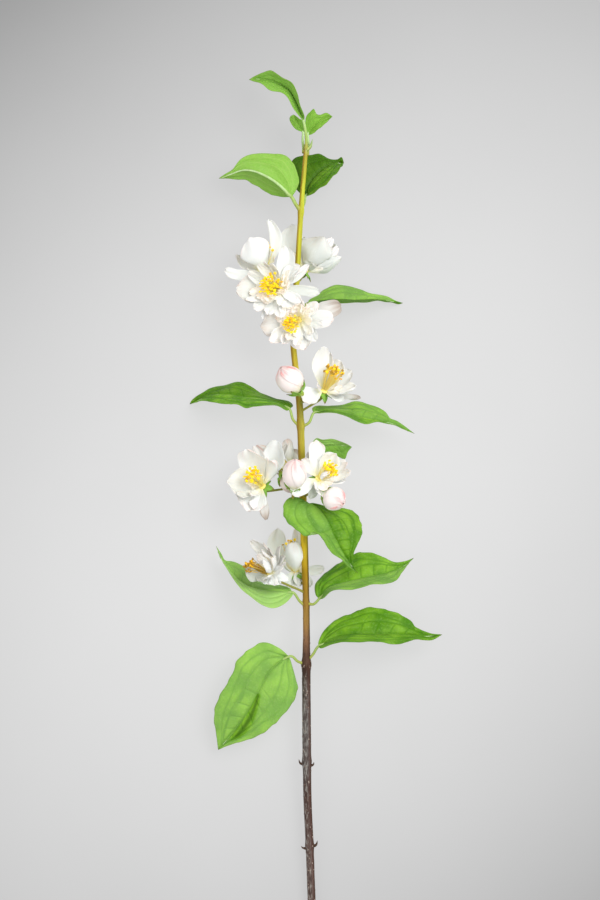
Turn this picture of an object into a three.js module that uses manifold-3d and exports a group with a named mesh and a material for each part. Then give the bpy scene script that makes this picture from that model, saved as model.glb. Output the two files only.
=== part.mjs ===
// A cut flowering branch, laid down on a table: a woody stem with opposite leaves, ten white
// semi-double blooms with yellow stamens in four clusters, and four pink buds.
//
// Millimetres. X runs to the right, Y along the branch towards its tip, Z up from the table.
// The origin is on the table, under the middle of the branch's outline. The branch rests on three
// low points: the cut end of the stem and the tips of one left and one right leaf.

import * as THREE from "three";
import { mergeVertices } from "three/addons/utils/BufferGeometryUtils.js";
import Module from "manifold-3d";

const wasm = await Module();
wasm.setup();

// Driving dimensions

const SEAT_GAP = 0.3; // clearance between a piece and what carries it
const BLADE = 0.75; // thickness of a leaf blade
const PETAL = 0.65; // thickness of a petal
const PETIOLE_RADIUS = 1.05;
const PEDICEL_RADIUS = 0.85;
const TWIG_SIDES = 5;

// The stem's centreline, from the cut end to the tip, and its diameter there
const STEM = [
  { at: [-0.8, -337.6, 2.86], diameter: 6.2 },
  { at: [-2.6, -282, 6.9], diameter: 6.1 },
  { at: [-4, -243, 9.6], diameter: 6.1 },
  { at: [-5.6, -207, 12], diameter: 6.3 },
  { at: [-6.2, -162, 14.8], diameter: 6.7 },
  { at: [-6.5, -110, 18], diameter: 6.4 },
  { at: [-7, -57, 20.8], diameter: 5.5 },
  { at: [-7.9, -18, 23], diameter: 5.7 },
  { at: [-9, 18, 25], diameter: 5.6 },
  { at: [-10.1, 54, 26.6], diameter: 5.4 },
  { at: [-11.6, 90, 28], diameter: 5.1 },
  { at: [-14.6, 117, 29], diameter: 4.7 },
  { at: [-16.2, 137, 29.6], diameter: 4.6 },
  { at: [-14.8, 168, 30.4], diameter: 4.4 },
  { at: [-12.7, 198, 31.2], diameter: 4.2 },
  { at: [-10.6, 234, 31.9], diameter: 4 },
  { at: [-8.2, 264, 32.3], diameter: 3.6 },
  { at: [-6.6, 284, 32.6], diameter: 3 },
];
const STEM_SIDES = 8;
const RING_SPACING = 26;

// Where leaves, twigs or bud scales leave the stem, it swells. Each node's Y, and how much
const NODES = [
  { y: -244, swell: 0.5 },
  { y: -180, swell: 0.5 },
  { y: -106, swell: 0.9 },
  { y: -60, swell: 0.6 },
  { y: 8, swell: 0.6 },
  { y: 74, swell: 0.6 },
  { y: 112, swell: 0.5 },
  { y: 156, swell: 0.5 },
  { y: 184, swell: 0.5 },
  { y: 234, swell: 0.5 },
];
const NODE_REACH = 4.5; // how far along the stem a swelling fades
const NODE_RINGS = [-1.2, 0, 1.2]; // where it has rings of its own, in reaches
const NODE_CLEARANCE = 1.6; // how near the evenly spaced rings come to it, in reaches

// Hooked scales in opposite pairs on the old wood, and a small one at the tip: how far each stands
// out to its side, and how far it rises along the stem
const SCALES = [
  { y: -180, side: -1, reach: 5.4, rise: 5 },
  { y: -180, side: 1, reach: 4.4, rise: 3.4 },
  { y: -244, side: -1, reach: 5, rise: 2.4 },
  { y: -243, side: 1, reach: 4.6, rise: 5.4 },
  { y: 280, side: 1, reach: 4.4, rise: 8 },
];
// Their knee and tip, as shares of the reach and of the rise, and how far they lift off the table
const SCALE_KNEE = { reach: 0.45, rise: 0.2, lift: 0.4 };
const SCALE_TIP = { reach: 0.8, rise: 1, lift: 0.8 };
const SCALE_STATIONS = [0.1, 0.55, 0.8, 0.98];
const SCALE_RADII = [1.47, 0.8, 0.42, 0.15];

// Leaves: points of the stalk and of the midrib. The stalk starts inside the stem and is cut there.
// From base to tip, roll turns the blade about its midrib, and left and right raise its halves, in
// degrees. Curl bends the halves on towards their margins, and lobes reach back past the base.
const LEAVES = [
  {
    name: "leaf_lower_left",
    stalk: [[-6.6, -106, 18.2], [-12.8, -103.8, 20.5]],
    midrib: [
      [-19.5, -99.8, 22.5], [-34, -110, 25], [-43.5, -127, 24.5],
      [-53.5, -142, 21], [-64, -157.5, 16], [-72.9, -170.7, 11],
    ],
    halfWidth: 28, roll: [4, -6], left: [9, 9], right: [9, 9],
    lobes: [4, 4], curl: -14, teeth: 5,
  },
  {
    name: "leaf_lower_right",
    stalk: [[-6.6, -104.4, 18.3], [-1.5, -98.5, 20]],
    midrib: [
      [2.6, -92.3, 22], [15, -84.5, 25], [34, -81, 28],
      [56.5, -81.8, 27.5], [79, -83.8, 22], [96.6, -83.5, 15],
    ],
    halfWidth: 23, roll: [52, 46], left: [24, 24], right: [36, 36],
    lobes: [4, 4], curl: -12, teeth: 5,
  },
  {
    name: "leaf_mid_right",
    stalk: [[-6.9, -59.3, 20.8], [-1.5, -60.6, 22.5]],
    midrib: [
      [3.2, -55.5, 24], [11.5, -47.5, 26.5], [26.5, -42, 29],
      [45, -38, 29], [60, -33, 26], [74.2, -25.5, 20],
    ],
    halfWidth: 22, roll: [52, 44], left: [14, 14], right: [42, 42],
    lobes: [4, 4], curl: -10, teeth: 5,
  },
  {
    name: "leaf_mid_left",
    stalk: [[-7, -61.5, 20.7], [-11.5, -58.3, 21.5]],
    midrib: [
      [-17, -53.5, 22.5], [-26.5, -48.5, 24], [-40, -44, 24],
      [-54, -38.5, 21], [-66, -28, 16], [-74.3, -16.5, 12],
    ],
    halfWidth: 22, roll: [-44, -62], left: [-10, -10], right: [-24, -24],
    lobes: [4, 4], curl: -8, teeth: 5,
  },
  {
    name: "leaf_front",
    stalk: [[-9, 3, 24.2], [-8.3, 8.5, 30.3]],
    midrib: [
      [-5, 14, 33.5], [2, 12, 35.5], [8.5, 4, 36.5],
      [14, -7, 36.5], [21, -20, 36], [32.6, -36.6, 34.5],
    ],
    halfWidth: 23, roll: [0, 10], left: [-10, -42, -16, 0, 0], right: [6, 6, 46, 34, 10],
    lobes: [0, 22], curl: -10, teeth: 5,
  },
  {
    name: "leaf_upper_right",
    stalk: [[-10.8, 72.8, 27.4], [-4.5, 78, 28.5]],
    midrib: [
      [-0.8, 84.2, 29], [10, 86, 31], [22.5, 84, 32],
      [37.5, 80.8, 31], [56.3, 76.6, 26], [75.3, 67.7, 18],
    ],
    halfWidth: 18, roll: [84, 58, 44], left: [10, 10], right: [10, 10],
    lobes: [0, 0], curl: -8, teeth: 5,
  },
  {
    name: "leaf_upper_left",
    stalk: [[-11, 72.8, 27.4], [-16.5, 80.3, 28.5]],
    midrib: [
      [-19.5, 86, 29.5], [-30, 92, 31], [-45, 95.3, 31],
      [-62.3, 97.5, 25], [-79, 96.3, 14], [-95.4, 90.2, 0.58],
    ],
    halfWidth: 19, roll: [-62, -60], left: [6, 6], right: [6, 6],
    lobes: [4, 4], curl: -8, teeth: 5,
  },
  {
    name: "leaf_behind",
    stalk: [[-9.6, 44, 26.2], [-6, 49, 22]],
    midrib: [
      [-2.5, 53.5, 19.5], [6, 57.5, 18], [14, 58, 17],
      [22, 57.8, 16], [28, 57.7, 15],
    ],
    halfWidth: 15, roll: [-14, -8], left: [6, 6], right: [6, 6],
    lobes: [4, 4], curl: -10, teeth: 4,
  },
  {
    name: "leaf_high_right",
    stalk: [[-15.6, 156, 30.1], [-11, 160.5, 28]],
    midrib: [
      [-6, 165, 27], [5.3, 169.5, 27.5], [18.8, 171.5, 27.5],
      [34, 172, 24], [50.3, 170.8, 15], [66.6, 166.2, 0.5],
    ],
    halfWidth: 17, roll: [60, 56], left: [12, 12], right: [12, 12],
    lobes: [4, 4], curl: -10, teeth: 5,
  },
  {
    name: "leaf_crown_left",
    stalk: [[-10.6, 234.8, 31.9], [-14.3, 239, 33.5]],
    midrib: [
      [-17.5, 244.5, 35], [-24.3, 251.5, 37], [-32.6, 258.5, 38.5],
      [-42, 262.5, 37], [-53, 264, 33], [-63, 262.2, 28],
      [-72.6, 258.6, 22],
    ],
    halfWidth: 17, roll: [-142, -150], left: [36, 22], right: [8, 8],
    lobes: [3, 3], curl: 10, teeth: 5,
  },
  {
    name: "leaf_crown_right",
    stalk: [[-10.5, 235, 31.9], [-8, 241, 28.5]],
    midrib: [
      [-7.2, 246.5, 26], [-3, 255, 24], [3.5, 263.5, 22],
      [12.5, 270.5, 20], [21.5, 273.5, 18],
    ],
    halfWidth: 23, roll: [26, 34], left: [4, 10], right: [34, 34],
    lobes: [3, 3], curl: -8, teeth: 5,
  },
  {
    name: "leaf_tip_long",
    stalk: [[-6.6, 281, 33], [-7, 289.5, 36.5]],
    midrib: [
      [-8.8, 299, 39], [-11.5, 310, 40.5], [-15.8, 319, 41],
      [-21.5, 326, 41], [-28, 330.3, 39.5], [-36, 333, 37],
      [-43, 333, 33], [-49.8, 332.8, 29],
    ],
    halfWidth: 11.5, roll: [40, 20, -30], left: [80, 46, 10], right: [80, 46, 20],
    lobes: [0, 0], curl: -8, teeth: 5,
  },
  {
    name: "leaf_tip_right",
    stalk: [[-6, 276, 31], [-4.4, 283, 28.6]],
    midrib: [
      [-3.4, 291.5, 29.2], [1, 298, 29.5], [6.5, 303.5, 29],
      [12.3, 305.5, 27],
    ],
    halfWidth: 10.5, roll: [-12, 0], left: [16, 30], right: [36, 30],
    lobes: [2, 2], curl: 6, teeth: 3,
  },
  {
    name: "leaf_tip_left",
    stalk: [[-8.2, 278, 31.4], [-10.4, 284.5, 28.5]],
    midrib: [
      [-11, 289.5, 27], [-12, 295.5, 26], [-14.5, 301, 25.5],
      [-16, 307.5, 24],
    ],
    halfWidth: 8.5, roll: [10, 10], left: [20, 20], right: [12, 12],
    lobes: [2, 2], curl: 4, teeth: 3,
  },
];
const LEAF_WIDEST = 0.36; // share of the blade's length at which it is widest
const BASE_ROUNDNESS = 0.54;
const TIP_TAPER = 1.4;
const TOOTH = 0.07; // depth of a marginal tooth, as a share of the half width
const TOOTHED = [0.2, 0.94]; // the stretch of margin with teeth
const TOOTH_PEAK = 0.72; // where in its stretch a tooth reaches furthest out
const BASE_STATIONS = [0.02, 0.09]; // shares of the blade's length before the teeth
const TIP_STATION = 0.995;
const LEAF_SHARES = [-1, -0.5, 0, 0.5, 1]; // from the left margin to the right

// Each bloom has the middle of its base, the way that it faces, the Y at which its stalk leaves the
// stem, and its petals, whose tips are measured from the base. A twisted petal turns about its
// length by its twist. The inner petals are the small ones of a double bloom.
const BLOOMS = [
  {
    name: "bloom_high_left",
    base: [-38.5, 190, 27], facing: [-0.42, 0.86, 0.3], root: 182, stamens: 7,
    petals: [
      { tip: [-14, 22, 10], width: 24 }, { tip: [7, 33, 2], width: 13, twist: 70 },
      { tip: [-31, 0, 5], width: 14 }, { tip: [-24, 11, -9], width: 18 },
      { tip: [-6, 24, -13], width: 18 },
    ],
    inner: [{ tip: [-3, 17, 7], width: 8 }],
  },
  {
    name: "bloom_high_right",
    base: [-7.5, 190, 21], facing: [0.5, 0.84, -0.15], root: 190, stamens: 6,
    petals: [
      { tip: [-11.5, 33, -3], width: 16, twist: -40 }, { tip: [12, 26, 7], width: 23 },
      { tip: [28, 11, 2], width: 15 }, { tip: [24, 21, -8], width: 18 },
      { tip: [2, 27, -13], width: 18 },
    ],
    inner: [],
  },
  {
    name: "bloom_high_front",
    base: [-28, 175, 44], facing: [-0.5, 0.34, 0.8], root: 174, stamens: 9,
    petals: [
      { tip: [-30, 2, 1], width: 21 }, { tip: [6, 31, 1], width: 18 },
      { tip: [20, 16, 7], width: 19 }, { tip: [-19, -13, 9], width: 17 },
      { tip: [-5, -19, 13], width: 15.5 }, { tip: [13, 0, 12], width: 14 },
    ],
    inner: [
      { tip: [-12, 15, 8], width: 9 }, { tip: [-16, 3, 10], width: 8 },
      { tip: [4, 15, 11], width: 9 },
    ],
  },
  {
    name: "bloom_high_low",
    base: [-12, 152.5, 45], facing: [-0.3, -0.2, 0.93], root: 162, stamens: 9,
    petals: [
      { tip: [-28, -4, 7], width: 19 }, { tip: [3, -24, 5], width: 18 },
      { tip: [26, -2, 6], width: 15 }, { tip: [29, 8, 0], width: 15 },
      { tip: [-17, 10, -5], width: 16 }, { tip: [-14, -16, 9], width: 12 },
    ],
    inner: [
      { tip: [1, 14, 8], width: 10 }, { tip: [14, 8, 10], width: 9 },
      { tip: [12, -13, 9], width: 10 },
    ],
  },
  {
    name: "bloom_middle",
    base: [6.5, 99, 34], facing: [0.34, 0.72, 0.6], root: 84, stamens: 9,
    petals: [
      { tip: [1, 34, 6], width: 15 }, { tip: [-14, -2, 15], width: 16 },
      { tip: [27, -4, 11], width: 17 }, { tip: [23, 16, -6], width: 19 },
      { tip: [12, 24, -9], width: 19 },
    ],
    inner: [
      { tip: [18, 5, 12], width: 9 }, { tip: [19, 13, 4], width: 9 },
    ],
  },
  {
    name: "bloom_low_left",
    base: [-39, 28, 33], facing: [-0.42, 0.42, 0.8], root: 28, stamens: 9,
    petals: [
      { tip: [-26, 3, 3], width: 20 }, { tip: [-16, 23, 4], width: 21 },
      { tip: [12, 33, 2], width: 20 }, { tip: [6, 17, 20], width: 18 },
      { tip: [-10, -18, 9], width: 18 }, { tip: [3, -25, 9], width: 12 },
    ],
    inner: [{ tip: [-9, -8, 13], width: 10 }],
  },
  {
    name: "bloom_low_right",
    base: [2, 34, 42], facing: [0.42, 0.34, 0.84], root: 34, stamens: 9,
    petals: [
      { tip: [0, 27, 1], width: 16 }, { tip: [-12, 16, -3], width: 13 },
      { tip: [20, 16, -1], width: 16 }, { tip: [25, 2, 3], width: 15 },
      { tip: [-10, -14, 3], width: 13 }, { tip: [3.5, -9.5, 10], width: 12 },
    ],
    inner: [{ tip: [9, 16, 9], width: 8 }],
  },
  {
    name: "bloom_low_behind",
    base: [-19, 43, 17], facing: [-0.55, 0.6, -0.58], root: 38, stamens: 6,
    petals: [
      { tip: [-23, 17, 3], width: 17 }, { tip: [-3, 22, 4], width: 16 },
      { tip: [9, 17, -11], width: 16 }, { tip: [-8, -6, -12.5], width: 15 },
      { tip: [-24, 2, -7], width: 16 },
    ],
    inner: [],
  },
  {
    name: "bloom_foot_left",
    base: [-34, -37, 31], facing: [-0.6, 0.62, 0.5], root: -52, stamens: 9,
    petals: [
      { tip: [-18, -1, 9], width: 16 }, { tip: [-12, 25, 2], width: 13 },
      { tip: [5, 31, 0], width: 15 }, { tip: [12, 12, 12], width: 14 },
      { tip: [-16, 10, -3], width: 16 },
    ],
    inner: [
      { tip: [-3, 15, 10], width: 8 }, { tip: [5, 3, 15], width: 8 },
      { tip: [9, 20, 4], width: 8 },
    ],
  },
  {
    name: "bloom_foot_right",
    base: [-15, -37, 12], facing: [-0.1, 0.97, 0.24], root: -45, stamens: 6,
    petals: [
      { tip: [-3, 21, 15], width: 13 }, { tip: [-3, 30, -3], width: 16 },
      { tip: [21, 4, -4], width: 13 }, { tip: [-11, 8, 13], width: 13 },
      { tip: [-14, 15, -6], width: 15 },
    ],
    inner: [],
  },
];

const BUDS = [
  {
    name: "bud_middle", base: [-13, 98, 38.5], facing: [-0.55, 0.78, 0.3],
    length: 22, radius: 9, root: 90,
  },
  {
    name: "bud_low_front", base: [-15, 28, 48], facing: [0.02, 0.5, 0.87],
    length: 18, radius: 8.4, root: 40,
  },
  {
    name: "bud_low_right", base: [7.5, 20, 42], facing: [0.76, -0.42, 0.5],
    length: 18, radius: 8.4, root: 20,
  },
  {
    name: "bud_low_small", base: [-24, 35.5, 34], facing: [0.42, -0.75, 0.5],
    length: 15, radius: 4.6, root: 36,
  },
];

const CORE = { radius: 3, foot: 2.34, low: 0.3, high: 1.9 }; // the disc that carries the petals
const DISC_SIDES = 6;
const NARROW = 15; // petals up to this width have fewer points across
const PETAL_SHARES = [-1, -0.36, 0.36, 1];
const PETAL_STATIONS = [0, 0.34, 0.72, 1];
const INNER_SHARES = [-1, 0, 1];
const INNER_STATIONS = [0, 0.6, 1];
const PETAL_WIDEST = 0.64; // share of a petal's length at which it is widest
const CLAW = 0.15; // width of a petal's foot, as a share of its widest
const CLAW_TAPER = 1.2;
const BLUNT = 0.34; // width left at its tip
const TIP_ROUNDNESS = 2.4;
const PETAL_CUP = 0.36; // how its margins rise, as a share of its half width
const PETAL_LEAN = 12; // each petal leans under its neighbour by so many degrees
const PETAL_BULGE = 0.16; // how deep it bows outwards, as a share of its length
const LEAST_STEEPNESS = 0.35; // how much of the bow a petal that spreads flat keeps

const STAMEN = { length: 13, spread: 30, filament: 0.45, anther: 1, foot: 1.9, root: 1.37 };
const STAMEN_STATIONS = [0, 0.84, 1];
const STAMEN_FOOT = 1; // height of the disc that carries the stamens
const OUTER_SHORTENING = 0.12; // how much shorter the outer stamens are
const LENGTH_SPREAD = 0.06; // how much the lengths differ otherwise
const FIRST_TURN = 0.3; // the innermost stamen's place in the spiral

const CUP = { depth: 5, belly: 2.56, radius: 2.7, foot: 1.2, rim: 1.8 }; // under the petals
const TWIG_BEND = 3; // how far below the cup its stalk turns towards the stem
const SEPALS = 5;
const SEPAL = { thickness: 0.8, root: -0.5, bevel: 0.3 };
// How far out and how far up the sepals' tips are. Under an open bloom they spread and droop, and
// round a bud they clasp it, at a distance from its surface
const SPREADING = [8.4, -4.8];
const CLASPING = { height: 5, distance: 2.1 };

// A furled bud: five overlapping petals, each edge a step in the surface that winds round the bud
const BUD_PROFILE = [0.2, 0.62, 0.9, 1, 0.98, 0.84, 0.58, 0.16]; // radii along it, of its widest
const BUD_STATIONS = [0, 0.12, 0.3, 0.55, 0.8, 1];
const FURL = { petals: 5, pointsEach: 3, step: 0.16, winding: 0.9, lag: 0.75 };

// Colours
const BARK = "#7a6438";
const LEAF_GREEN = "#6fae35";
const PETAL_WHITE = "#f6f1ee";
const BUD_PINK = "#f6d3d2";
const ANTHER_YELLOW = "#f2b71c";
const SEPAL_GREEN = "#6f8f3a";

const UP = new THREE.Vector3(0, 0, 1);
const degrees = THREE.MathUtils.degToRad;
const vector = (p) => new THREE.Vector3(...p);

// Solids

function closedGeometry(points, index) {
  const geometry = new THREE.BufferGeometry();
  const positions = points.flatMap((p) => [p.x, p.y, p.z]);
  geometry.setAttribute("position", new THREE.Float32BufferAttribute(positions, 3));
  geometry.setIndex(index);
  return geometry;
}

function solid(geometry) {
  const merged = mergeVertices(geometry, 1e-4);
  return new wasm.Manifold(
    new wasm.Mesh({
      numProp: 3,
      vertProperties: new Float32Array(merged.attributes.position.array),
      triVerts: new Uint32Array(merged.index.array),
    }),
  );
}

// A rod of any section from rings of equal length, with a flat end at each side
function rodFrom(rings) {
  const sides = rings[0].length;
  const index = [];
  const last = (rings.length - 1) * sides;
  for (let a = 0; a < last; a += sides) {
    for (let j = 0; j < sides; j++) {
      const k = (j + 1) % sides;
      index.push(a + j, a + sides + k, a + k, a + j, a + sides + j, a + sides + k);
    }
  }
  for (let j = 1; j + 1 < sides; j++) {
    index.push(0, j, j + 1, last, last + j + 1, last + j);
  }
  return solid(closedGeometry(rings.flat(), index));
}

// A blade from rings whose points run along its underside and back along its upper face. The two
// faces are split into triangles alike, so that they can't cross.
function bladeFrom(rings) {
  const count = rings[0].length;
  const index = [];
  for (let i = 0; i + 1 < rings.length; i++) {
    for (let j = 0; j < count; j++) {
      const k = (j + 1) % count;
      const [a, b] = [i * count + j, i * count + k];
      const [c, d] = [b + count, a + count];
      if (j < count / 2) index.push(a, c, b, a, d, c);
      else index.push(a, d, b, b, d, c);
    }
  }
  const last = (rings.length - 1) * count;
  for (let j = 0; j + 1 < count / 2; j++) {
    const [a, b, c, d] = [j, j + 1, count - 2 - j, count - 1 - j];
    index.push(a, b, d, b, c, d);
    index.push(last + a, last + d, last + b, last + b, last + d, last + c);
  }
  return solid(closedGeometry(rings.flat(), index));
}

const joined = (bodies) => bodies.reduce((whole, next) => whole.add(next));

function mesh(name, body, colour, roughness) {
  const { vertProperties, triVerts } = body.getMesh();
  const geometry = new THREE.BufferGeometry();
  geometry.setAttribute("position", new THREE.BufferAttribute(vertProperties, 3));
  geometry.setIndex(new THREE.BufferAttribute(triVerts, 1));
  geometry.computeVertexNormals();
  const material = new THREE.MeshStandardMaterial({ color: colour, roughness, metalness: 0 });
  const made = new THREE.Mesh(geometry, material);
  made.name = name;
  return made;
}

// Curves

// The value at a share t of the way through a list of evenly spaced values
function keyed(values, t) {
  const place = Math.min(Math.max(t, 0), 1) * (values.length - 1);
  const i = Math.min(Math.floor(place), values.length - 2);
  return THREE.MathUtils.lerp(values[i], values[i + 1], place - i);
}

// Evenly spaced numbers from 0 to 1
const steps = (count) => Array.from({ length: count + 1 }, (_, i) => i / count);

const smooth = (points) => new THREE.CatmullRomCurve3(points, false, "catmullrom", 0.5);

// The share of a curve's length that lies before its control point number k
function shareBefore(curve, k) {
  const pieces = 400;
  const lengths = curve.getLengths(pieces);
  return lengths[Math.round((k / (curve.points.length - 1)) * pieces)] / lengths[pieces];
}

// Axes of a blade at a point of its spine: across it and out of its upper face. At roll 0 the
// upper face looks up from the table, and a positive roll lifts the right-hand side.
function bladeAxes(along, roll) {
  const flat = new THREE.Vector3().crossVectors(along, UP).normalize();
  const out = new THREE.Vector3().crossVectors(flat, along);
  const across = flat.clone().multiplyScalar(Math.cos(roll)).addScaledVector(out, Math.sin(roll));
  const face = out.multiplyScalar(Math.cos(roll)).addScaledVector(flat, -Math.sin(roll));
  return { across, face };
}

// A ring of a thin blade. For s from -1 to 1, section(s) gives the distance across, the rise towards
// the face and the slope of the rise, and lead(s) how far the ring reaches forwards there.
function bladeRing(centre, along, { across, face }, section, lead, shares, thickness) {
  const side = (sign) => (s) => {
    const [x, rise, slope] = section(s);
    const half = (sign * thickness) / 2 / Math.hypot(1, slope);
    return centre
      .clone()
      .addScaledVector(along, lead(s))
      .addScaledVector(across, x - slope * half)
      .addScaledVector(face, rise + half);
  };
  return [...shares.map(side(-1)), ...shares.toReversed().map(side(1))];
}

// Its points start on the left and run along the underside first, as a blade's do
function roundRing(centre, along, radius, sides) {
  const { across, face } = bladeAxes(along, 0);
  return Array.from({ length: sides }, (_, i) => {
    const angle = (Math.PI * (1 + 2 * i)) / sides - Math.PI;
    return centre
      .clone()
      .addScaledVector(across, radius * Math.cos(angle))
      .addScaledVector(face, radius * Math.sin(angle));
  });
}

// A round rod along a curve, with a radius at each of these shares of its length
function rod(curve, shares, radii, sides) {
  const rings = shares.map((share, i) => {
    return roundRing(curve.getPointAt(share), curve.getTangentAt(share), radii[i], sides);
  });
  return rodFrom(rings);
}

// Stem

const stemCurve = smooth(STEM.map(({ at }) => vector(at)));

// The share of the stem's length at which it reaches a Y, by bisection, as Y only grows along it
function stemShare(y) {
  let [low, high] = [0, 1];
  for (let i = 0; i < 30; i++) {
    const middle = (low + high) / 2;
    if (stemCurve.getPointAt(middle).y < y) low = middle;
    else high = middle;
  }
  return (low + high) / 2;
}

const stemPoint = (y) => stemCurve.getPointAt(stemShare(y));

function stemRadius(y) {
  const i = Math.max(1, STEM.findIndex(({ at }) => at[1] > y));
  const [below, above] = y > STEM.at(-1).at[1] ? STEM.slice(-2) : [STEM[i - 1], STEM[i]];
  const share = (y - below.at[1]) / (above.at[1] - below.at[1]);
  const swelling = NODES.reduce((sum, node) => {
    return sum + node.swell * Math.exp(-(((y - node.y) / NODE_REACH) ** 2));
  }, 0);
  return THREE.MathUtils.lerp(below.diameter, above.diameter, share) / 2 + swelling;
}

function stemStations() {
  const [first, last] = [STEM[0].at[1], STEM.at(-1).at[1]];
  const even = steps(Math.round((last - first) / RING_SPACING)).map((t) => first + t * (last - first));
  const clearance = NODE_CLEARANCE * NODE_REACH;
  const clear = even.filter((y) => NODES.every((node) => Math.abs(y - node.y) > clearance));
  const close = NODES.flatMap((node) => NODE_RINGS.map((reaches) => node.y + reaches * NODE_REACH));
  return [...clear, ...close].sort((a, b) => a - b);
}

function stemRod(extra) {
  const stations = stemStations();
  return rod(stemCurve, stations.map(stemShare), stations.map((y) => stemRadius(y) + extra), STEM_SIDES);
}

function scale({ y, side, reach, rise }) {
  const root = stemPoint(y);
  const pointAt = (place) => {
    const out = stemRadius(y) + reach * place.reach;
    return root.clone().add(vector([side * out, rise * place.rise, place.lift]));
  };
  const curve = smooth([root, pointAt(SCALE_KNEE), pointAt(SCALE_TIP)]);
  return rod(curve, SCALE_STATIONS, SCALE_RADII, TWIG_SIDES);
}

function stem() {
  return joined([stemRod(0), ...SCALES.map(scale)]);
}

const stemClearance = stemRod(SEAT_GAP);

// Leaves

function leafWidth(t) {
  return t < LEAF_WIDEST
    ? Math.sin(((Math.PI / 2) * t) / LEAF_WIDEST) ** BASE_ROUNDNESS
    : Math.cos(((Math.PI / 2) * (t - LEAF_WIDEST)) / (1 - LEAF_WIDEST)) ** TIP_TAPER;
}

// Stations along the blade: one in the notch before each tooth and one at its peak
function leafStations(teeth) {
  const [from, to] = TOOTHED;
  const width = (to - from) / teeth;
  const toothed = steps(teeth).slice(0, -1).flatMap((share) => {
    const notch = from + share * (to - from);
    return [{ t: notch, tooth: 0 }, { t: notch + TOOTH_PEAK * width, tooth: 1 }];
  });
  const plain = (t) => ({ t, tooth: 0 });
  return [...BASE_STATIONS.map(plain), ...toothed, ...[to, TIP_STATION].map(plain)];
}

function leaf({ stalk, midrib, halfWidth, roll, left, right, lobes, curl, teeth }) {
  const curve = smooth([...stalk, ...midrib].map(vector));
  const bladeStart = shareBefore(curve, stalk.length);
  const stalkRings = [0, bladeStart / 2].map((u) => {
    return roundRing(curve.getPointAt(u), curve.getTangentAt(u), PETIOLE_RADIUS, 2 * LEAF_SHARES.length);
  });
  const bladeRings = leafStations(teeth).map(({ t, tooth }) => {
    const u = bladeStart + t * (1 - bladeStart);
    const along = curve.getTangentAt(u);
    const width = Math.max(PETIOLE_RADIUS, halfWidth * leafWidth(t) * (1 + TOOTH * tooth));
    const section = (s) => {
      const hinge = keyed(s < 0 ? left : right, t);
      const angle = degrees(hinge + (curl * Math.abs(s)) / 2);
      const slope = Math.tan(degrees(hinge + curl * Math.abs(s)));
      return [s * width * Math.cos(angle), Math.abs(s) * width * Math.sin(angle), Math.sign(s) * slope];
    };
    const lead = (s) => -lobes[s < 0 ? 0 : 1] * Math.abs(s) * (1 - t) ** 2;
    const axes = bladeAxes(along, degrees(keyed(roll, t)));
    return bladeRing(curve.getPointAt(u), along, axes, section, lead, LEAF_SHARES, BLADE);
  });
  return bladeFrom([...stalkRings, ...bladeRings]).subtract(stemClearance);
}

// Blossom

// A frame whose axis looks along the bloom, with two directions across it
function bloomFrame({ base, facing }) {
  const axis = vector(facing).normalize();
  const reference = Math.abs(axis.z) > 0.9 ? vector([0, 1, 0]) : UP;
  const side = new THREE.Vector3().crossVectors(axis, reference).normalize();
  return { base: vector(base), axis, side, other: new THREE.Vector3().crossVectors(side, axis) };
}

// The point at a height above a bloom's base, and a distance out from its axis
function bloomPoint({ base, axis }, height, outwards = UP, distance = 0) {
  return base.clone().addScaledVector(axis, height).addScaledVector(outwards, distance);
}

function outwardsAt({ side, other }, turn) {
  return side.clone().multiplyScalar(Math.cos(turn)).addScaledVector(other, Math.sin(turn));
}

// A rod along a bloom's axis, from one height above its base to another
function disc(frame, low, high, radius) {
  const curve = new THREE.LineCurve3(bloomPoint(frame, low), bloomPoint(frame, high));
  return rod(curve, [0, 1], [radius, radius], DISC_SIDES);
}

function petalWidth(t) {
  if (t < PETAL_WIDEST) {
    return CLAW + (1 - CLAW) * Math.sin(((Math.PI / 2) * t) / PETAL_WIDEST) ** CLAW_TAPER;
  }
  const end = (t - PETAL_WIDEST) / (1 - PETAL_WIDEST);
  return BLUNT + (1 - BLUNT) * Math.sqrt(Math.max(0, 1 - end ** TIP_ROUNDNESS));
}

// A petal from the core to its tip. It bows outwards the more, the steeper it stands, and keeps one
// direction, level, across it.
function petal(frame, { tip, width, twist = 0 }, shares, stations) {
  const reach = vector(tip);
  const outwards = reach.clone().addScaledVector(frame.axis, -reach.dot(frame.axis)).normalize();
  const foot = bloomPoint(frame, (CORE.low + CORE.high) / 2, outwards, CORE.foot);
  const end = frame.base.clone().add(reach);
  const chord = end.clone().sub(foot);
  const inwards = frame.axis.clone().addScaledVector(chord, -frame.axis.dot(chord) / chord.lengthSq());
  const steepness = Math.max(0, LEAST_STEEPNESS + frame.axis.dot(reach) / reach.length());
  const bow = 2 * PETAL_BULGE * steepness * chord.length();
  const middle = foot.clone().lerp(end, 0.5).addScaledVector(inwards.normalize(), -bow);
  const spine = new THREE.QuadraticBezierCurve3(foot, middle, end);
  const level = new THREE.Vector3().crossVectors(chord, frame.axis).normalize();
  level.applyAxisAngle(chord.clone().normalize(), degrees(twist));
  const lean = Math.tan(degrees(PETAL_LEAN));
  const rings = stations.map((t) => {
    const along = spine.getTangent(t);
    const face = new THREE.Vector3().crossVectors(level, along).normalize();
    const half = (width / 2) * petalWidth(t);
    const section = (s) => [half * s, half * s * (PETAL_CUP * s + lean), 2 * PETAL_CUP * s + lean];
    return bladeRing(spine.getPoint(t), along, { across: level, face }, section, () => 0, shares, PETAL);
  });
  return bladeFrom(rings);
}

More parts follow.
